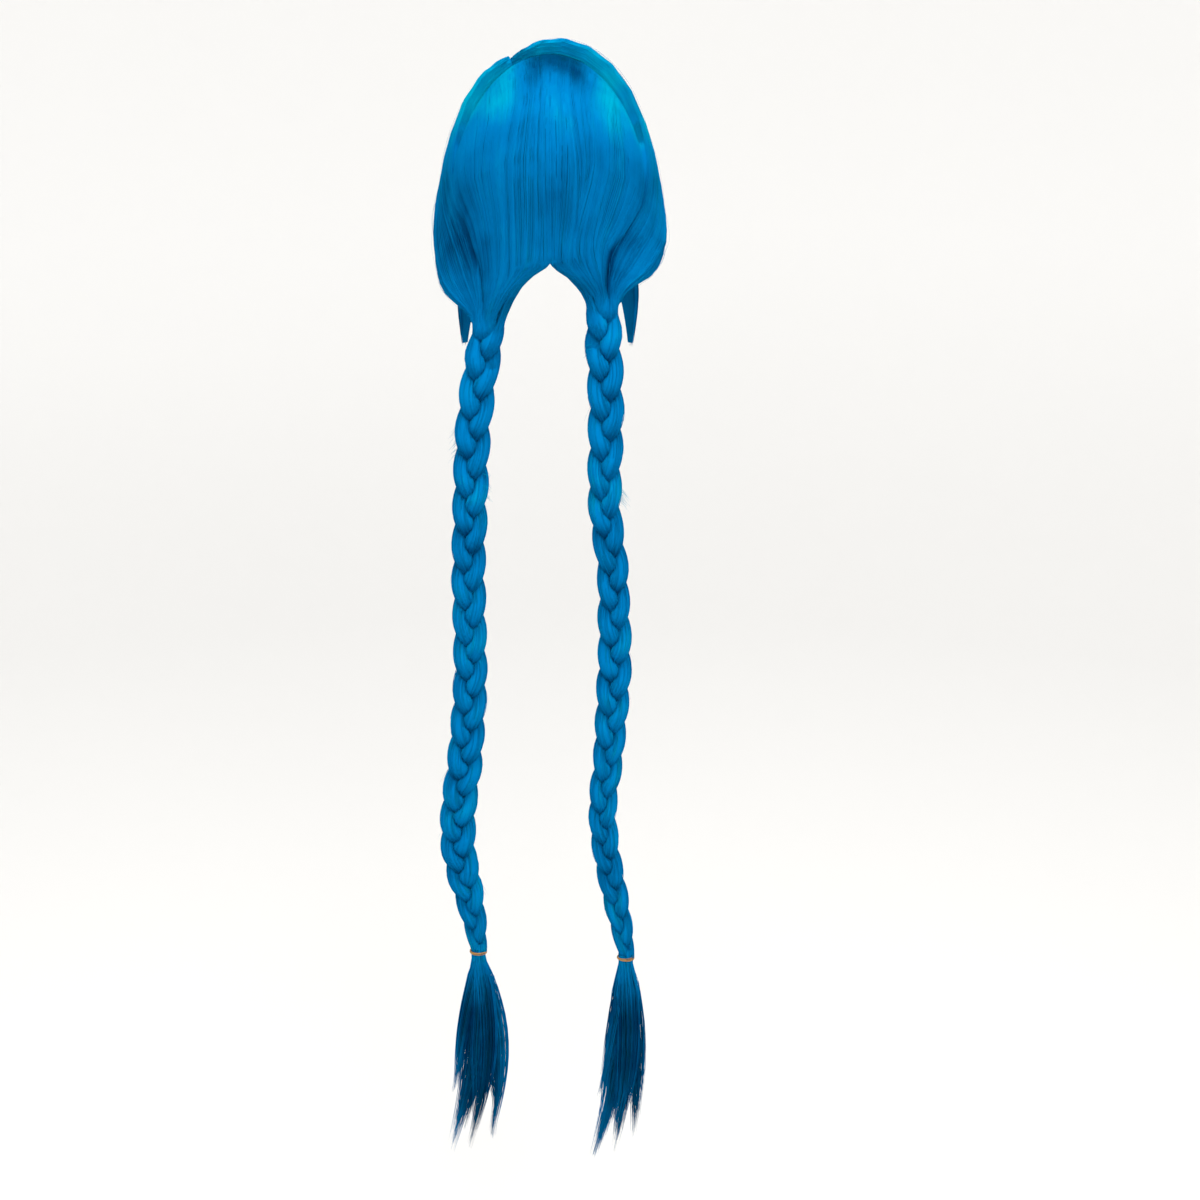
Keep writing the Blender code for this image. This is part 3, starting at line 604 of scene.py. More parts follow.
def comb(
    panel, rng, count, steps, levels, start=(0, 0.03), end=(0.93, 1), dips=(0.00045, 0.0001),
    inner=0, taper=0.25, gather=None, crevices=0, hollows=None,
):
    """Strands over a panel: its outer face, its two edges and, for a share of them, its inner face.

    levels has the number, squeeze and sway of the big locks and of the small ones in them, and
    dips the depth of the grooves between the big ones and the small ones. With a gather, the
    strands run on into the first lobes of its braid. A share of them are dark strands painted as
    the shade in the crevices between locks.
    """
    q = (np.arange(count) + rng.uniform(0, 1, count)) / count
    q = q * (1 + 2 * RIM_SHARE) - RIM_SHARE
    u0 = np.clip(q, 0, 1)
    wall = np.clip(np.maximum(-q, q - 1) / RIM_SHARE, 0, 1)
    t = np.linspace(0, 1, steps)
    v0 = rng.uniform(*start, (count, 1))
    v1 = rng.uniform(*end, (count, 1))
    crevice = rng.uniform(0, 1, count) < crevices
    early = rng.uniform(*CREVICE_STARTS, (count, 1))
    v0 = np.where(crevice[:, None], early, v0)
    v1 = np.where(crevice[:, None], early + rng.uniform(*CREVICE_RUNS, (count, 1)), v1)
    joins = ~crevice & (gather is not None)
    last = np.where(joins, FLOW_START, 1)[:, None]
    down = np.minimum(t / last, 1)
    v = v0 + (v1 - v0) * down
    # All but the crevices keep level with one another, so that they bend in the same places
    level = down + v0 * (1 - down) ** 6 - (1 - v1) * down**6
    v = np.where(crevice[:, None], v, level)
    shift, dip, big = locks(u0, v, *levels[0], rng)
    shift2, dip2, small = locks(u0, v, *levels[1], rng)
    wander = rng.normal(0, STRAND_WANDER, (count, 1))
    wander = wander * np.sin(math.pi * v * rng.uniform(0.6, 2.2, (count, 1)))
    u = np.clip(u0[:, None] + shift + shift2 + wander, 0, 1)
    fall = wall[:, None] + 0 * v
    if panel.joined:
        # Above the arch the two halves are one, and their strands cross the middle
        parted = smooth_step((v - panel.joined + 0.15) / 0.14)
        u = u + np.minimum(q, 0)[:, None] * (1 - parted)
        split = smooth_step((v - panel.joined + 0.03) / 0.05)
        fall = np.where((q < 0)[:, None], fall * split, fall)
    layer = np.where(crevice, 0, rng.uniform(0, 1, count) ** 1.5)
    loose = 0.35 + 0.65 * smooth_step(v / 0.45)  # combed smooth at the crown, looser below
    height = -dips[0] * dip[:, None] * loose - dips[1] * dip2[:, None]
    height = height - LAYER_DEPTH * layer[:, None] * loose
    if hollows:
        height = height - hollows.depth * dip_at(hollows, u, v)
    depth = panel.depth(u, v)
    edge_fall = fall * (depth - STRAND_WIDTH)
    inside = rng.uniform(0, 1, count) < inner
    outside = np.maximum(height, -0.6 * depth) - edge_fall
    height = np.where(inside[:, None], -depth + STRAND_WIDTH * 0.3, outside)
    centres = panel.point(u, v, height)
    ups = panel.out(u, v)
    shade = painted_shading(centres, u, v, hollows)
    if gather is not None:
        flow, flow_ups = flow_into_braid(gather, centres, t, rng)
        blend = (smooth_step((t - FLOW_START + 0.1) / 0.18) * joins[:, None])[..., None]
        centres = centres * (1 - blend) + flow * blend
        ups = ups * (1 - blend) + flow_ups * blend
    ends = np.minimum(1, np.minimum(t / 0.08 + taper, (1 - t) / 0.16 + 0.12))
    widths = STRAND_WIDTH * rng.uniform(0.7, 1.25, (count, 1)) * ends
    widths = widths * np.where(crevice, CREVICE_WIDTH, 1)[:, None]
    tone = BIG_TONES * rng.normal(0, 1, levels[0][0])[big]
    tone = tone + SMALL_TONES * rng.normal(0, 1, levels[1][0])[small]
    # Painted shade: strands are darker towards the edges of their lock and in the lowest layer
    tone = tone + STRAND_TONES * rng.normal(0, 1, count) - DEEP_PAINTED_SHADE * (dip + layer)
    # Painted highlight band and painted shade of the head, and a painted highlight on the strands
    # along the panel's edges
    tone = tone[:, None] * loose + shade + EDGE_PAINTED_HIGHLIGHT * fall
    # Crevice strands are painted dark, as the shade between locks
    tone = np.where(crevice[:, None], CREVICE_PAINTED_SHADOW, tone)
    return tubes(centres, ups, widths, tone)


FLOW_START = 0.76  # share of a strand's run at which it reaches the braid
FLOW_LOBES = 1.4  # of the braid that the longest of them cover


def flow_into_braid(gather, centres, t, rng):
    """Way of each strand of a panel over the braid strand that is nearest to where it arrives."""
    arrive = centres[:, -1, :2] - braid_centre(gather, 0)[:2]
    away = arrive / np.linalg.norm(arrive, axis=-1, keepdims=True)
    girth = BRAID_GIRTH[0][1]
    edge = away * bundle_reach(girth, away[:, 0], away[:, 1])[:, None]
    owns = np.array([strand_centre(gather, k, 0, girth) for k in range(3)])
    nearest = np.argmin(np.linalg.norm(edge[:, None, :] - owns[None], axis=-1), axis=1)
    toward = edge - owns[nearest]
    turn = np.arctan2(toward[:, 1], toward[:, 0])[:, None]
    turn = turn + rng.normal(0, 0.1, (len(away), 1)) * t
    length = FLOW_LOBES * rng.uniform(0.45, 1, (len(away), 1))
    lobes = (t - FLOW_START) / (1 - FLOW_START) * length
    dive = rng.uniform(-0.0003, 0.0005, (len(away), 1))
    dive = dive - 0.0022 * smooth_step((t - 0.95) / 0.05)
    flow = np.zeros_like(centres)
    for k in range(3):
        pick = nearest == k
        flow[pick] = lobe_surface(gather, k, lobes[pick], turn[pick], dive[pick])
    return flow, level_way(turn)


def panel_body(panel, rows=64, columns=56, ends=(0, 0.995), gather=None, hollows=None):
    """The mass of hair under a panel's strands, ribbed along the combing."""
    v, u = np.meshgrid(np.linspace(*ends, rows), np.linspace(0, 1, columns), indexing="ij")
    ribs = 0.0001 * np.sin(TAU * 23 * u + 2.5 * np.sin(4 * v))
    ribs = ribs + 0.0002 * np.sin(TAU * 9 * u + 1.7 * np.sin(5 * v + 2))
    thick = panel.depth(u, v)
    fall = hollows.depth * dip_at(hollows, u, v) if hollows else 0
    outer = panel.point(u, v, np.maximum(-BODY_DEPTH + ribs - fall, -0.7 * thick))
    inner = panel.point(u, v, -thick)
    if gather:
        # The end of the mass takes the round outline of the braid's top
        middle = braid_centre(gather, 0)
        draw = smooth_step((v - 0.84) / 0.16)
        for grid in (outer, inner):
            x = grid[..., 0] - middle[0]
            y = grid[..., 1] - middle[1]
            away = np.hypot(x, y)
            full = bundle_reach(BRAID_GIRTH[0][1], x / away, y / away) - BODY_DEPTH
            grow = 1 + (full / away - 1) * draw
            grid[..., 0] = middle[0] + x * grow
            grid[..., 1] = middle[1] + y * grow
    width = np.linalg.norm(np.diff(outer[rows // 2], axis=0), axis=-1).sum()
    # The mass under the strands is painted darker, as the shade beneath them, on top of the hair's
    # painted light and shade
    tone = painted_shading(outer, u, v, hollows) - 0.5
    return outward(sheet_part(inner, outer, tone, width))


def braid_top(gather):
    bundle = HAIR_THICKNESS * BACK_ROWS[-1][7]
    place = on_map(gather.level, gather.side * gather.azimuth)
    return head_points(place, CAP_WALL + NEST_GAP + bundle / 2)


def braid_centre(gather, share):
    """Middle of the braid at shares of its length; below 0 it runs up inside the gather."""
    way = along(BRAID_WAY, share)
    top = braid_top(gather)
    above = np.maximum(-share, 0) * BRAID_LENGTH
    x = top[0] + gather.side * for_side(way, gather) * BRAID_SWAY
    y = top[1] + way[..., 3] * BRAID_DRIFT - 0.15 * above
    z = top[2] - share * BRAID_LENGTH * gather.length
    return np.stack([x, y, z], -1)


def lobes_in(gather):
    mean = (LOBE_SPACING_TOP - LOBE_SPACING_END) / math.log(LOBE_SPACING_TOP / LOBE_SPACING_END)
    return BRAID_LENGTH * gather.length / mean


def share_at(gather, lobes):
    shrink = LOBE_SPACING_END / LOBE_SPACING_TOP
    return (shrink ** (lobes / lobes_in(gather)) - 1) / (shrink - 1)


STRAND_REACH = 0.225
STRAND_DEPTH = 0.2
LOBE_HALF_WIDTH = 0.31
LOBE_HALF_DEPTH = 0.35
CREASE = 9  # sharpness of the creases between the lobes
LOBES_ABOVE = 0.45  # lobes of each strand that are hidden in the gather
CREASES_FROM = 0.1  # lobes down the braid at which the creases start to open
CREASES_RUN = 0.75


def strand_centre(gather, number, lobes, girth):
    phase = np.radians(gather.phase + 120 * (lobes + number))
    reach = STRAND_REACH * BRAID_WIDTH * girth
    depth = STRAND_DEPTH * BRAID_THICKNESS * girth
    return np.stack([reach * np.sin(phase), -depth * np.sin(2 * phase)], -1)


def bundle_reach(girth, cos, sin):
    """Distance from a braid's middle to the outline of its smooth top."""
    return 1 / np.hypot(cos / (0.47 * BRAID_WIDTH * girth), sin / (0.48 * BRAID_THICKNESS * girth))


def lobe_surface(gather, number, lobes, angle, height):
    """Points on a braid's strand: rounded lobes that press against the other two strands."""
    share = share_at(gather, lobes)
    girth = for_side(along(BRAID_GIRTH, share), gather)
    girth = girth * (1 - 0.5 * smooth_step(-lobes / 0.5))
    own = strand_centre(gather, number, lobes, girth)
    half_width = LOBE_HALF_WIDTH * BRAID_WIDTH * girth
    half_depth = LOBE_HALF_DEPTH * BRAID_THICKNESS * girth
    cos = np.cos(angle)
    sin = np.sin(angle)
    near = np.hypot(cos / half_width, sin / half_depth) ** CREASE
    for other in (number + 1, number + 2):
        facing = (strand_centre(gather, other, lobes, girth) - own) / 2
        distance = np.linalg.norm(facing, axis=-1)
        toward = (cos * facing[..., 0] + sin * facing[..., 1]) / distance
        near = near + (np.maximum(toward, 0) / distance) ** CREASE
    reach = near ** (-1 / CREASE) + height
    x = own[..., 0] + reach * cos
    y = own[..., 1] + reach * sin
    # The braid's top is one smooth bundle, and the creases between its strands open below it
    away = np.hypot(x, y)
    full = bundle_reach(girth, x / away, y / away) + height
    closed = 1 - smooth_step((lobes - CREASES_FROM) / CREASES_RUN)
    grow = 1 + (full / away - 1) * closed * smooth_step((away / full - 0.4) / 0.3)
    middle = braid_centre(gather, share)
    x = middle[..., 0] + x * grow
    y = middle[..., 1] + y * grow
    return np.stack([x, y, np.broadcast_to(middle[..., 2], x.shape)], -1)


def braid_painted_shade(gather, number, lobes):
    """Painted shade of a braid's strand: darker where it dips under the others in the braid's middle,
    with a tone of 0.35 elsewhere.
    """
    phase = np.radians(gather.phase + 120 * (lobes + number))
    return 0.35 - BRAID_PAINTED_SHADE * smooth_step((0.8 - np.abs(np.sin(phase))) / 0.8)


def braid_strand(gather, number, rng, fibres, sides=34, rows_per_lobe=9, steps=20):
    """One strand of a braid: a ribbed body and the fibres that lie on it."""
    total = lobes_in(gather)
    rows = int((total + LOBES_ABOVE) * rows_per_lobe)
    lobes = np.linspace(-LOBES_ABOVE, total, rows)[:, None]
    angle = (TAU * np.arange(sides) / sides)[None, :]
    ribs = np.zeros((rows, sides))
    for n, size in ((5, 0.00022), (9, 0.00018), (14, 0.00014)):
        ribs += 0.6 * size * np.sin(n * angle + rng.uniform(0, TAU) + rng.uniform(-1.2, 1.2) * lobes)
    points = lobe_surface(gather, number, lobes, angle, ribs - 0.0004)
    index = np.arange(rows * sides).reshape(rows, sides)
    uvs = tube_uvs(np.arange(sides + 1) / sides * 0.05, lobes[:, 0] * LOBE_SPACING_TOP)
    flat = points.reshape(-1, 3)
    # The body under the fibres is painted 0.35 darker, as the shade beneath them, besides the braid's
    # painted shade
    tone = np.repeat(braid_painted_shade(gather, number, lobes[:, 0]) - 0.35, sides)
    ends = np.array([flat[index[0]].mean(0), flat[index[-1]].mean(0)])
    body = outward(Part(flat, tube_faces(index), uvs, tone))
    fans = []
    for centre, ring in ((0, index[0][::-1]), (1, index[-1])):
        fans.append(np.stack([ring, np.roll(ring, -1), np.full(sides, len(flat) + centre)], -1))
    fan = np.concatenate(fans)
    cap = Part(ends, fan - len(flat), np.zeros((len(fan), 3, 2)), np.full(2, -0.25))
    parts = [body, cap]

    start = rng.uniform(-LOBES_ABOVE, total - 1.5, fibres)
    length = rng.uniform(2.2, 3.6, fibres)
    t = np.linspace(0, 1, steps)
    at = np.minimum(start[:, None] + length[:, None] * t, total + 0.1)
    turn = rng.uniform(0, TAU, (fibres, 1))
    turn = turn + rng.normal(0, 0.1, (fibres, 1)) * np.sin(TAU * t * 0.8)
    layer = rng.uniform(-0.0003, 0.0001, (fibres, 1))
    dive = -0.0022 * (smooth_step(1 - t / 0.12) + smooth_step((t - 0.88) / 0.12))
    centres = lobe_surface(gather, number, at, turn, layer + dive)
    taper = np.minimum(1, np.minimum(t, 1 - t) / 0.1 + 0.2)
    widths = STRAND_WIDTH * rng.uniform(0.6, 1.3, (fibres, 1)) * taper
    tones = rng.normal(0.1, 0.35, (fibres, 1)) + braid_painted_shade(gather, number, at)
    parts += tubes(centres, level_way(turn), widths, tones)
    return parts


def tail(gather, rng, per_lock, steps=14):
    """Loose end of a braid: strands that leave the hair tie as one mass and part into locks.

    Each strand follows two neighbouring locks of the solid, and comes to one of them at its tip.
    """
    top = braid_centre(gather, 1)
    rows = np.array(TAIL_LOCKS)
    parts = []
    for number, own in enumerate(rows):
        count = int(per_lock * own[4])
        subs = 6
        sub = rng.integers(0, subs, count)
        other = rows[rng.integers(0, len(rows), subs)][sub]
        share = rng.uniform(0, 0.62, subs)[sub] * (rng.uniform(0, 1, count) < 0.75)
        radius = np.sqrt(rng.uniform(0, 1, count))[:, None]
        phi = rng.uniform(0, TAU, (count, 1))
        sub_r = np.sqrt(rng.uniform(0.05, 0.9, subs))[sub][:, None]
        sub_phi = rng.uniform(0, TAU, subs)[sub][:, None]
        t = np.linspace(0, 1, steps)
        full = rng.uniform(0.86, 1.03, subs)[sub][:, None] * rng.uniform(0.84, 1.02, (count, 1))
        s = -0.06 + (full + 0.06) * t
        run = np.clip(s, 0, 1.1)
        mix = share[:, None] * (1 - smooth_step((s - 0.5) / 0.4))
        both = [own[c] * (1 - mix) + other[:, c, None] * mix for c in range(5)]
        bulge, tip, depth, length, girth = both
        section = np.maximum(np.interp(s, *np.array(TAIL_SECTIONS).T), 0.3)
        section = section * (1.28 - 0.34 * gather.bulge)
        draw = 0.4 * smooth_step((s - 0.5) / 0.5)
        dx = radius * np.cos(phi) * (1 - draw) + sub_r * np.cos(sub_phi) * draw
        dy = radius * np.sin(phi) * (1 - draw) + sub_r * np.sin(sub_phi) * draw
        bulge = 0.8 * gather.bulge * bulge * np.sin(math.pi * np.minimum(run, 1))
        x = TAIL_SPREAD * (bulge + tip * run**2)
        y = TAIL_SPREAD * depth * np.sin(math.pi * 0.7 * run)
        free = smooth_step((s + 0.02) / 0.15)
        neck_x = NECK_WIDTH * 0.46 * radius * np.cos(phi)
        neck_y = NECK_THICKNESS * 0.46 * radius * np.sin(phi)
        x = neck_x * (1 - free) + (x + dx * TAIL_LOCK_WIDTH * 0.56 * girth * section) * free
        y = neck_y * (1 - free) + (y + dy * TAIL_LOCK_DEPTH * 0.56 * girth * section) * free
        z = -NECK_LENGTH - s * length * TAIL_LENGTH
        centres = np.stack([top[0] + x, top[1] + y, top[2] + z], -1)
        ups = np.stack([dx, dy + 0.2, np.zeros_like(dx)], -1) + 1e-6
        taper = np.minimum(1, (1 - t) / 0.35 + 0.12)
        widths = TAIL_STRAND_WIDTH * rng.uniform(0.6, 1.25, (count, 1)) * taper
        edge = smooth_step((np.abs(x) / TAIL_SPREAD - 0.35) / 0.5)
        tone = (rng.normal(0, 0.5, subs)[sub] + rng.normal(0, 0.2, count))[:, None]
        # Painted shade in the core of each lock and down the tail below the tie, a painted highlight
        # along the tail's outer edges, and lighter towards the tips
        tone = tone - 0.6 * (1 - radius) + TAIL_PAINTED_SHADE * smooth_step(s / 0.34)
        tone = tone + 1.6 * edge + 1.2 * smooth_step((t - 0.7) / 0.3)
        parts += tubes(centres, ups, widths, tone)
    return parts


def tie_part(gather, rng, wraps=3, steps=64, sides=10):
    """Elastic band: thin cords wound side by side and over each other round the neck."""
    centre = braid_centre(gather, 1) - np.array([0, 0, 0.0003 + NECK_LENGTH / 2])
    cord = TIE_CORD * 0.36
    parts = []
    turn = TAU * np.arange(steps) / steps
    for w in range(wraps):
        tilt = rng.uniform(-0.0005, 0.0005, 2)
        out = 0.0001 + cord * (0.5 + 0.25 * (w % 2) + 0.15 * np.sin(turn + w))
        x = (NECK_WIDTH / 2 + out) * np.cos(turn)
        y = (NECK_THICKNESS / 2 + out) * np.sin(turn)
        z = (w - (wraps - 1) / 2) * cord * 0.92 + tilt[0] * np.cos(turn) + tilt[1] * np.sin(turn)
        spot = centre + np.stack([x, y, z], -1)
        away = level_way(turn)
        angle = TAU * np.arange(sides) / sides
        ring = away[:, None, :] * np.cos(angle)[:, None]
        ring = ring + np.array([0, 0, 1]) * np.sin(angle)[:, None]
        points = (spot[:, None, :] + ring * cord / 2).reshape(-1, 3)
        index = np.arange(steps * sides).reshape(steps, sides)
        faces = tube_faces(np.concatenate([index, index[:1]]))
        grid = np.broadcast_arrays(turn[:, None] * 0.008, angle[None, :] * cord)
        grid = np.stack(grid, -1).reshape(-1, 2)
        parts.append(outward(Part(points, faces, grid[faces], np.zeros(len(points)))))
    return parts


def cap_part(rows=60, columns=120):
    """Inside of the wig: a thin net cap with rows of weft sewn round it."""
    azimuth = np.linspace(0, 360, columns + 1)[:-1]
    fold = np.minimum(azimuth, 360 - azimuth)
    rim = along(CAP_RIM, fold)[:, 1]
    share = np.linspace(0, 1, rows)[1:]
    level = rim[None, :] * share[:, None]
    place = on_map(level, np.broadcast_to(azimuth[None, :], level.shape))
    weft = 0.00035 * np.maximum(np.cos(TAU * 9 * share), 0)[:, None] ** 3
    hem = 0.0007 * smooth_step((share - 0.955) / 0.03)[:, None]
    inner = head_points(place, 0.0003 - weft - hem)
    outer = head_points(place, np.full(level.shape, CAP_WALL))
    tip = head_points(np.zeros((1, 2)), np.array([0.0003]))
    cap = head_points(np.zeros((1, 2)), np.array([CAP_WALL]))
    count = (rows - 1) * columns
    index = np.arange(count).reshape(rows - 1, columns)
    after = np.roll(index, -1, axis=1)
    quads = tube_faces(index)[:, [0, 3, 2, 1]]
    wall = np.stack([index[-1], index[-1] + count, after[-1] + count, after[-1]], -1)
    faces = np.concatenate([quads, quads[:, ::-1] + count, wall])
    fan = np.stack([index[0], after[0], np.full(columns, 2 * count)], -1)
    fan_in = np.stack([after[0] + count, index[0] + count, np.full(columns, 2 * count + 1)], -1)
    points = np.concatenate([outer.reshape(-1, 3), inner.reshape(-1, 3)])
    flat = np.stack([place[..., 0], place[..., 1]], -1).reshape(-1, 2) * DOME_HEIGHT * 1.5
    flat = np.concatenate([flat, flat])
    tone = np.concatenate([np.zeros(count), (weft + hem + 0 * level).ravel() * 1500])
    tips = np.concatenate([cap, tip])
    fans = np.concatenate([fan, fan_in]) - 2 * count
    flat_all = np.concatenate([flat, np.zeros((2, 2))])
    return [
        Part(points, faces, flat[faces], tone),
        Part(tips, fans, flat_all[fans + 2 * count], np.zeros(2)),
    ]


HAIR_WIDTH = 0.00022  # of a single loose hair
WISP_WIDTH = 0.00024


def flyaways(panel, rng, count, reach, steps=14):
    """Single hairs that stand off a panel."""
    u0 = rng.uniform(0.02, 0.98, (count, 1))
    t = np.linspace(0, 1, steps)
    v0 = rng.uniform(0, 0.75, (count, 1))
    v = v0 + rng.uniform(0.15, 0.4, (count, 1)) * t
    v = np.minimum(v, 0.985)
    u = np.clip(u0 + rng.normal(0, 0.03, (count, 1)) * t, 0, 1)
    arch = np.sin(math.pi * (0.05 + 0.95 * t)) ** 0.8
    height = -0.001 + rng.uniform(0.2, 1, (count, 1)) * reach * arch
    centres = panel.point(u, v, height)
    widths = HAIR_WIDTH * np.minimum(1, (1 - t) / 0.4 + 0.2)
    return tubes(centres, panel.out(u, v), widths, rng.normal(0.6, 0.4, (count, 1)))


def braid_wisps(gather, rng, count, steps=10):
    """Short ends that stick out between the lobes."""
    total = lobes_in(gather)
    parts = []
    number = rng.integers(0, 3, count)
    at = rng.uniform(0.5, total - 0.5, count)
    turn = rng.uniform(0, TAU, count)
    t = np.linspace(0, 1, steps)
    for k in range(3):
        pick = number == k
        start = at[pick][:, None]
        lobes = start + rng.uniform(0.2, 0.7, (pick.sum(), 1)) * t
        away = rng.uniform(0.002, 0.006, (pick.sum(), 1)) * t**1.3
        side = turn[pick][:, None]
        centres = lobe_surface(gather, k, lobes, side + 0.4 * t, away - 0.0005)
        ups = level_way(side + 0 * t)
        widths = WISP_WIDTH * np.minimum(1, (1 - t) / 0.5 + 0.15)
        parts += tubes(centres, ups, widths, rng.normal(0.5, 0.4, (pick.sum(), 1)))
    return parts


# Frizzy tufts of each braid: first and last lobe, 1 for its outer side or -1, and length
TUFTS = {
    1: [(2.5, 3.3, 1, 0.013), (3.7, 4.5, -1, 0.008)],
    -1: [(4.6, 5, 1, 0.014), (1, 1.3, -1, 0.006)],
}
TUFT_HAIR_WIDTH = 0.00026
TUFT_TONE = 2


def tufts(gather, rng, hairs=30, steps=12):
    """Loose hairs that have worked out of the braids."""
    parts = []
    t = np.linspace(0, 1, steps)
    for first, last, outer, reach in TUFTS[gather.side]:
        middle = braid_centre(gather, share_at(gather, rng.uniform(first, last, hairs)))[:, None, :]
        length = reach * rng.uniform(0.35, 1, (hairs, 1))
        curl = rng.normal(0, 0.12, (hairs, 1))
        curl = curl * np.sin(TAU * t * rng.uniform(0.4, 1.1, (hairs, 1)))
        x = 0.34 * BRAID_WIDTH + 0.1 * BRAID_WIDTH * np.minimum(3 * t, 1)
        x = x + length * (t**1.2 * 0.7 + curl)
        y = rng.normal(0, 0.004, (hairs, 1)) + length * rng.normal(0, 0.3, (hairs, 1)) * t
        z = -length * (0.9 * t + curl)
        centres = middle + np.stack([gather.side * outer * x, y, z], -1)
        ups = np.stack([0 * t + gather.side * outer, 0 * t + 0.3, 0 * t], -1) + 0 * centres
        widths = TUFT_HAIR_WIDTH * np.minimum(1, (1 - t) / 0.5 + 0.2)
        parts += tubes(centres, ups, widths, TUFT_TONE)
    return parts


def node(tree, kind, inputs, **settings):
    """A new node with its settings made, and its inputs set to values or linked to sockets."""
    made = tree.nodes.new(kind)
    for key, value in settings.items():
        setattr(made, key, value)
    for key, value in inputs.items():
        if isinstance(value, bpy.types.NodeSocket):
            tree.links.new(value, made.inputs[key])
        else:
            made.inputs[key].default_value = value
    return made


def new_material(name):
    material = bpy.data.materials.new(name)
    material.use_nodes = True
    return material, material.node_tree, material.node_tree.nodes["Principled BSDF"]


def place_in(tree):
    return node(tree, "ShaderNodeTexCoord", {}).outputs["Object"]


def comb_in(tree):
    """The UVs that run across and along the hair."""
    return node(tree, "ShaderNodeUVMap", {}, uv_map="Comb").outputs["UV"]


def tone_in(tree):
    return node(tree, "ShaderNodeAttribute", {}, attribute_name="tone").outputs["Fac"]


def noise(tree, place, scale, detail=2, **settings):
    inputs = {"Vector": place, "Scale": scale, "Detail": detail}
    return node(tree, "ShaderNodeTexNoise", inputs, **settings).outputs["Fac"]


def arithmetic(tree, operation, *values):
    return node(tree, "ShaderNodeMath", dict(enumerate(values)), operation=operation).outputs["Value"]


def ramp(tree, stops, value):
    made = node(tree, "ShaderNodeValToRGB", {"Fac": value})
    made.color_ramp.interpolation = "EASE"
    elements = made.color_ramp.elements
    while len(elements) < len(stops):
        elements.new(0.5)
    for element, (position, colour) in zip(elements, stops):
        element.position = position
        element.color = (*colour, 1)
    return made.outputs["Color"]


def fitted(tree, value, low, high, to_low, to_high):
    inputs = {"Value": value, "From Min": low, "From Max": high, "To Min": to_low, "To Max": to_high}
    return node(tree, "ShaderNodeMapRange", inputs).outputs["Result"]


def finish_surface(tree, shader, colour, roughness, height, strength, distance):
    """Colour, roughness and the relief of a surface."""
    bump = node(tree, "ShaderNodeBump", {"Height": height, "Strength": strength, "Distance": distance})
    tree.links.new(colour, shader.inputs["Base Color"])
    tree.links.new(roughness, shader.inputs["Roughness"])
    tree.links.new(bump.outputs["Normal"], shader.inputs["Normal"])


def hair_material(name, bump):
    """Satin synthetic fibre, streaked in tone along the hair, with a long gloss across it."""
    material, tree, shader = new_material(name)
    cloud = fitted(tree, noise(tree, place_in(tree), 22), 0.3, 0.7, 0.38, 0.62)
    streaks = node(tree, "ShaderNodeMapping", {"Vector": comb_in(tree), "Scale": (1400, 22, 1)})
    fine = noise(tree, streaks.outputs["Vector"], 1, 3, noise_dimensions="2D")
    # The tone attribute holds the hair's own tone and its painted light and shade
    total = arithmetic(tree, "MULTIPLY_ADD", tone_in(tree), TONE_STEP, cloud)
    total = arithmetic(tree, "ADD", total, fitted(tree, fine, 0.3, 0.7, -0.09, 0.09))
    colour = ramp(tree, ((0, DEEP), (0.5, MIDDLE), (1, LIGHT)), total)
    finish_surface(tree, shader, colour, fitted(tree, fine, 0.3, 0.7, 0.38, 0.52), fine, bump, 0.0004)
    tangent = node(tree, "ShaderNodeTangent", {}, direction_type="UV_MAP", uv_map="Comb")
    tree.links.new(tangent.outputs["Tangent"], shader.inputs["Tangent"])
    shader.inputs["Anisotropic"].default_value = 0.65
    shader.inputs["Metallic"].default_value = 0.12  # gives the gloss the fibres' own colour
    shader.inputs["Specular IOR Level"].default_value = 0
    shader.inputs["Specular Tint"].default_value = (0, 0.85, 1, 1)
    shader.inputs["Sheen Weight"].default_value = 0.09
    shader.inputs["Sheen Roughness"].default_value = 0.45
    shader.inputs["Sheen Tint"].default_value = (0, 0.75, 0.85, 1)
    return material


def net_material():
    """Knitted net of the cap, darker in its holes, with the sewn wefts standing out."""
    material, tree, shader = new_material("cap_net")
    cells = node(
        tree, "ShaderNodeTexVoronoi", {"Vector": comb_in(tree), "Scale": 520},
        feature="DISTANCE_TO_EDGE", voronoi_dimensions="2D",
    )
    threads = fitted(tree, cells.outputs["Distance"], 0.02, 0.16, 1, 0)
    stops = ((0, (0.001, 0.02, 0.06)), (0.6, (0.003, 0.09, 0.25)), (1, (0.004, 0.15, 0.38)))
    colour = ramp(tree, stops, arithmetic(tree, "MAXIMUM", threads, tone_in(tree)))
    roughness = fitted(tree, threads, 0, 1, 0.9, 0.7)
    finish_surface(tree, shader, colour, roughness, threads, 0.6, 0.0004)
    shader.inputs["Sheen Weight"].default_value = 0.2
    return material


def elastic_material():
    """Tan rubber band, a little mottled lighter and darker."""
    material, tree, shader = new_material("elastic")
    mottle = noise(tree, place_in(tree), 260, 4)
    stops = ((0.25, (0.2, 0.085, 0.018)), (0.5, (0.36, 0.18, 0.04)), (0.8, (0.5, 0.27, 0.075)))
    roughness = fitted(tree, mottle, 0.3, 0.7, 0.42, 0.6)
    finish_surface(tree, shader, ramp(tree, stops, mottle), roughness, mottle, 0.3, 0.0002)
    shader.inputs["Subsurface Weight"].default_value = 0.15
    shader.inputs["Subsurface Scale"].default_value = 0.001
    return material


BACK_COMB = {"count": 760, "levels": [(9, 0.1, 0.6), (46, 0.14, 1)], "start": (0, 0.01)}
SIDE_COMB = {"count": 640, "levels": [(7, 0.12, 0.6), (36, 0.16, 1)]}


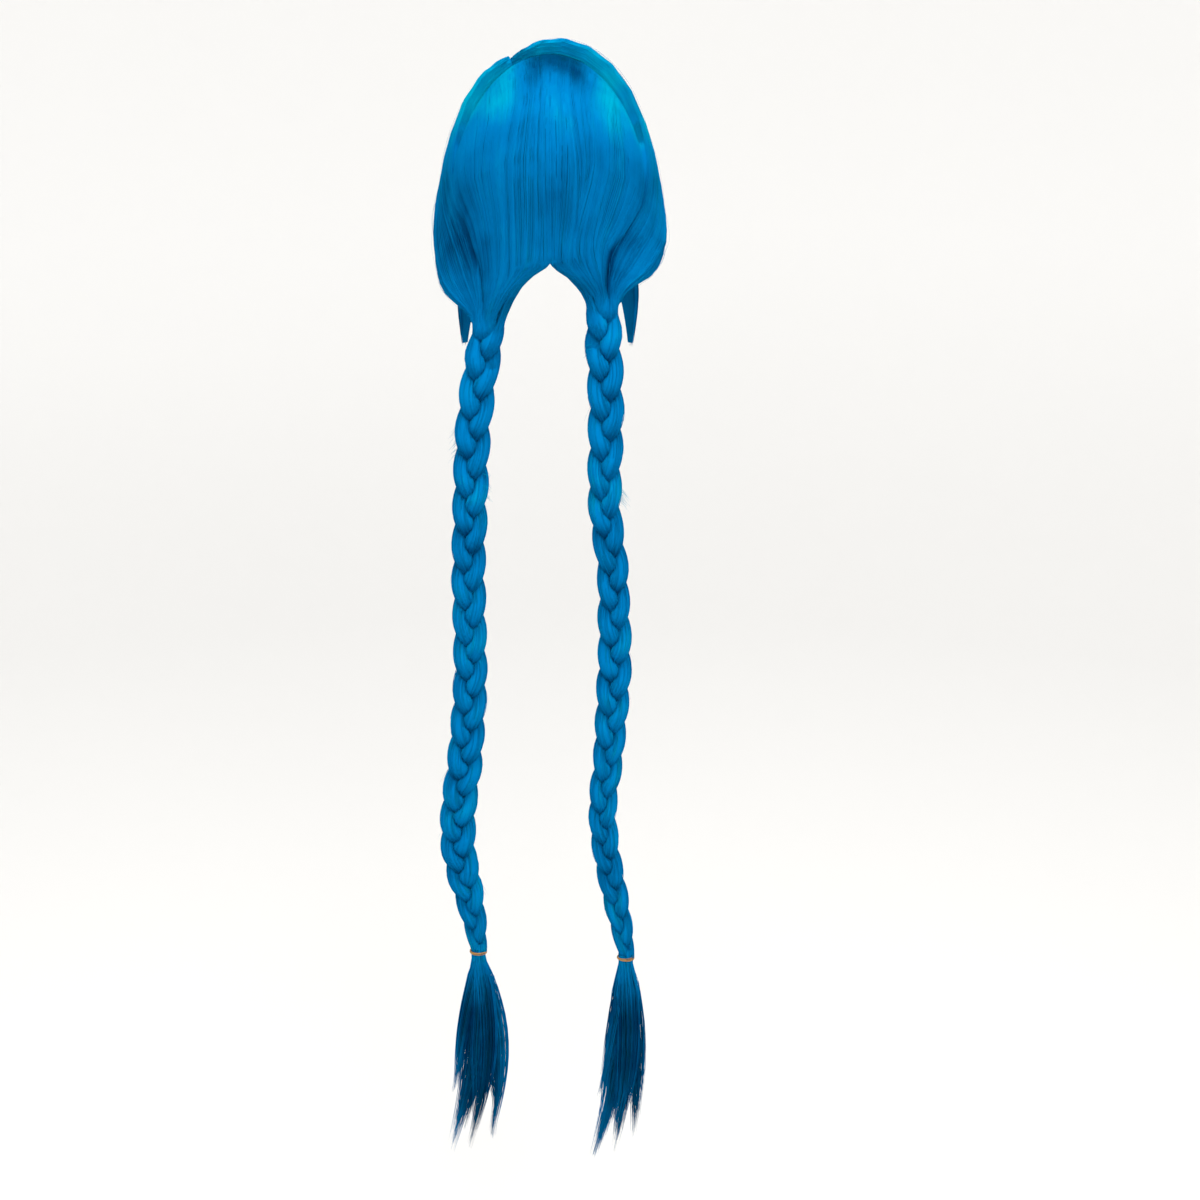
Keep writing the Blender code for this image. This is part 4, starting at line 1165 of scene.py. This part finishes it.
def build_hair():
    mass = hair_material("hair_mass", 0.8), "hair"
    fibre = hair_material("hair_fibre", 0), "hair"
    elastic = elastic_material(), "elastic"
    rng = np.random.default_rng(7)

    backs = {gather.side: back_panel(gather) for gather in (LEFT, RIGHT)}
    for gather, word in ((LEFT, "left"), (RIGHT, "right")):
        masses = [
            (f"back_hair_{word}", "back_hair", backs[gather.side], BACK_HOLLOWS, BACK_COMB, 0),
            (f"{word}_side", f"{word}_side_hair", side_panel(gather), SIDE_HOLLOWS, SIDE_COMB, 60),
        ]
        for name, place, panel, hollows, combing, loose in masses:
            both = {"gather": gather, "hollows": hollows[gather.side]}
            make_piece(f"{name}_mass", [panel_body(panel, **both)], mass, place)
            parts = comb(panel, rng, **combing, **both, steps=24, inner=0.1, crevices=0.025, taper=1)
            if loose:
                parts += flyaways(panel, rng, loose, 0.004)
            make_piece(f"{name}_strands", parts, fibre, place)

        lock, place = lock_panel(gather), f"{word}_face_lock"
        make_piece(f"{place}_mass", [panel_body(lock, 40, 16, ends=(0, 0.975))], mass, place)
        parts = comb(lock, rng, 190, 16, [(2, 0.25, 0.3), (10, 0.3, 0.6)], end=(0.8, 1), inner=0.3)
        make_piece(f"{place}_strands", parts, fibre, place)

        for number in range(3):
            place = f"{word}_braid_strand_{number + 1}"
            make_piece(f"{place}_hair", braid_strand(gather, number, rng, 230), mass, place)
        wisps = braid_wisps(gather, rng, 90) + tufts(gather, np.random.default_rng(11))
        make_piece(f"{word}_braid_wisps", wisps, fibre)
        make_piece(f"{word}_hair_tie_band", tie_part(gather, rng), elastic, f"{word}_hair_tie")
        make_piece(f"{word}_tail_strands", tail(gather, rng, 205), fibre, f"{word}_tail")

    fringe = fringe_panel()
    make_piece("fringe_mass", [panel_body(fringe, 40, 60, ends=(0, 0.9))], mass, "fringe")
    levels = [(5, 0.55, 0.1), (40, 0.4, 0.6)]
    parts = comb(fringe, rng, 460, 14, levels, end=(0.84, 1), dips=(0.0022, 0.0006), inner=0.1)
    make_piece("fringe_strands", parts, fibre, "fringe")
    make_piece("wig_cap_net", cap_part(), (net_material(), "cap_net"), "wig_cap")
    back_fly = flyaways(backs[1], rng, 50, 0.0035) + flyaways(backs[-1], rng, 50, 0.0035)
    make_piece("back_flyaways", back_fly, fibre)


FLOOR_HEIGHT = -1.42
STAGE_RADIUS = 3.6
STAGE_CURVE = 2.2
STAGE_TOP = 3.4


def make_stage():
    """Plain pale floor that curves up into a wall all round."""
    material, tree, shader = new_material("pale_floor")
    height = node(tree, "ShaderNodeSeparateXYZ", {"Vector": place_in(tree)}).outputs["Z"]
    rise = fitted(tree, height, FLOOR_HEIGHT, FLOOR_HEIGHT + STAGE_CURVE * 0.6, 0, 1)
    mottle = node(tree, "ShaderNodeTexNoise", {"Scale": 3}).outputs["Fac"]
    total = arithmetic(tree, "ADD", rise, fitted(tree, mottle, 0.3, 0.7, -0.05, 0.05))
    colour = ramp(tree, ((0, (0.86, 0.855, 0.845)), (1, (0.93, 0.927, 0.92))), total)
    tree.links.new(colour, shader.inputs["Base Color"])
    shader.inputs["Roughness"].default_value = 0.85

    bend = math.pi / 2 * np.arange(13) / 12
    turn = TAU * np.arange(96) / 96
    radius = np.append(STAGE_RADIUS + STAGE_CURVE * np.sin(bend), STAGE_RADIUS + STAGE_CURVE)
    height = np.append(STAGE_CURVE * (1 - np.cos(bend)), STAGE_TOP) + FLOOR_HEIGHT
    points = level_way(turn) * radius[:, None, None] + height[:, None, None] * [0, 0, 1]
    index = np.arange(points.size // 3).reshape(points.shape[:2])
    walls = tube_faces(index)[:, ::-1]
    middle = np.stack([np.full(96, index.size), index[0], np.roll(index[0], -1)], -1)
    parts = [
        Part(points.reshape(-1, 3), walls, np.zeros((*walls.shape, 2)), np.zeros(index.size)),
        Part(np.array([[0, 0, FLOOR_HEIGHT]]), middle - index.size, np.zeros((96, 3, 2)), np.zeros(1)),
    ]
    mesh_object("floor", parts, material)


def area_light(name, place, target, size, energy, colour):
    light = bpy.data.lights.new(name, "AREA")
    light.shape = "DISK"
    light.size = size
    light.energy = energy
    light.color = colour
    obj = bpy.data.objects.new(name, light)
    obj.location = place
    way = Vector(target) - Vector(place)
    obj.rotation_euler = way.to_track_quat("-Z", "Y").to_euler()
    bpy.context.scene.collection.objects.link(obj)


CAMERA_PLACE = (0, 1.6, -0.155)
CAMERA_PITCH = 13
CAMERA_LENS = 48
IMAGE_SIZE = 1200
OBJECT_LEFT_OF_CENTRE = 50  # pixels in the photograph's 1200 by 1200 frame


def light_and_camera():
    area_light("ceiling", (-0.05, 0.6, 1.1), (0, 0.05, -0.1), 0.9, 12.5, (1, 0.99, 0.97))
    area_light("front", (-0.35, 2.3, 0.9), (0, 0, -0.2), 1.2, 28.5, (1, 0.99, 0.98))
    world = bpy.data.worlds.new("studio")
    world.use_nodes = True
    background = world.node_tree.nodes["Background"]
    background.inputs["Color"].default_value = (1, 0.995, 0.985, 1)
    background.inputs["Strength"].default_value = 1.05
    scene = bpy.context.scene
    scene.world = world
    scene.view_settings.view_transform = "Standard"
    camera = bpy.data.cameras.new("camera")
    camera.lens = CAMERA_LENS
    camera.shift_x = OBJECT_LEFT_OF_CENTRE / IMAGE_SIZE
    camera.dof.use_dof = False
    eye = bpy.data.objects.new("camera", camera)
    eye.location = CAMERA_PLACE
    eye.rotation_euler = (math.radians(90 - CAMERA_PITCH), 0, math.pi)
    scene.collection.objects.link(eye)
    scene.camera = eye


build_hair()
make_stage()
light_and_camera()
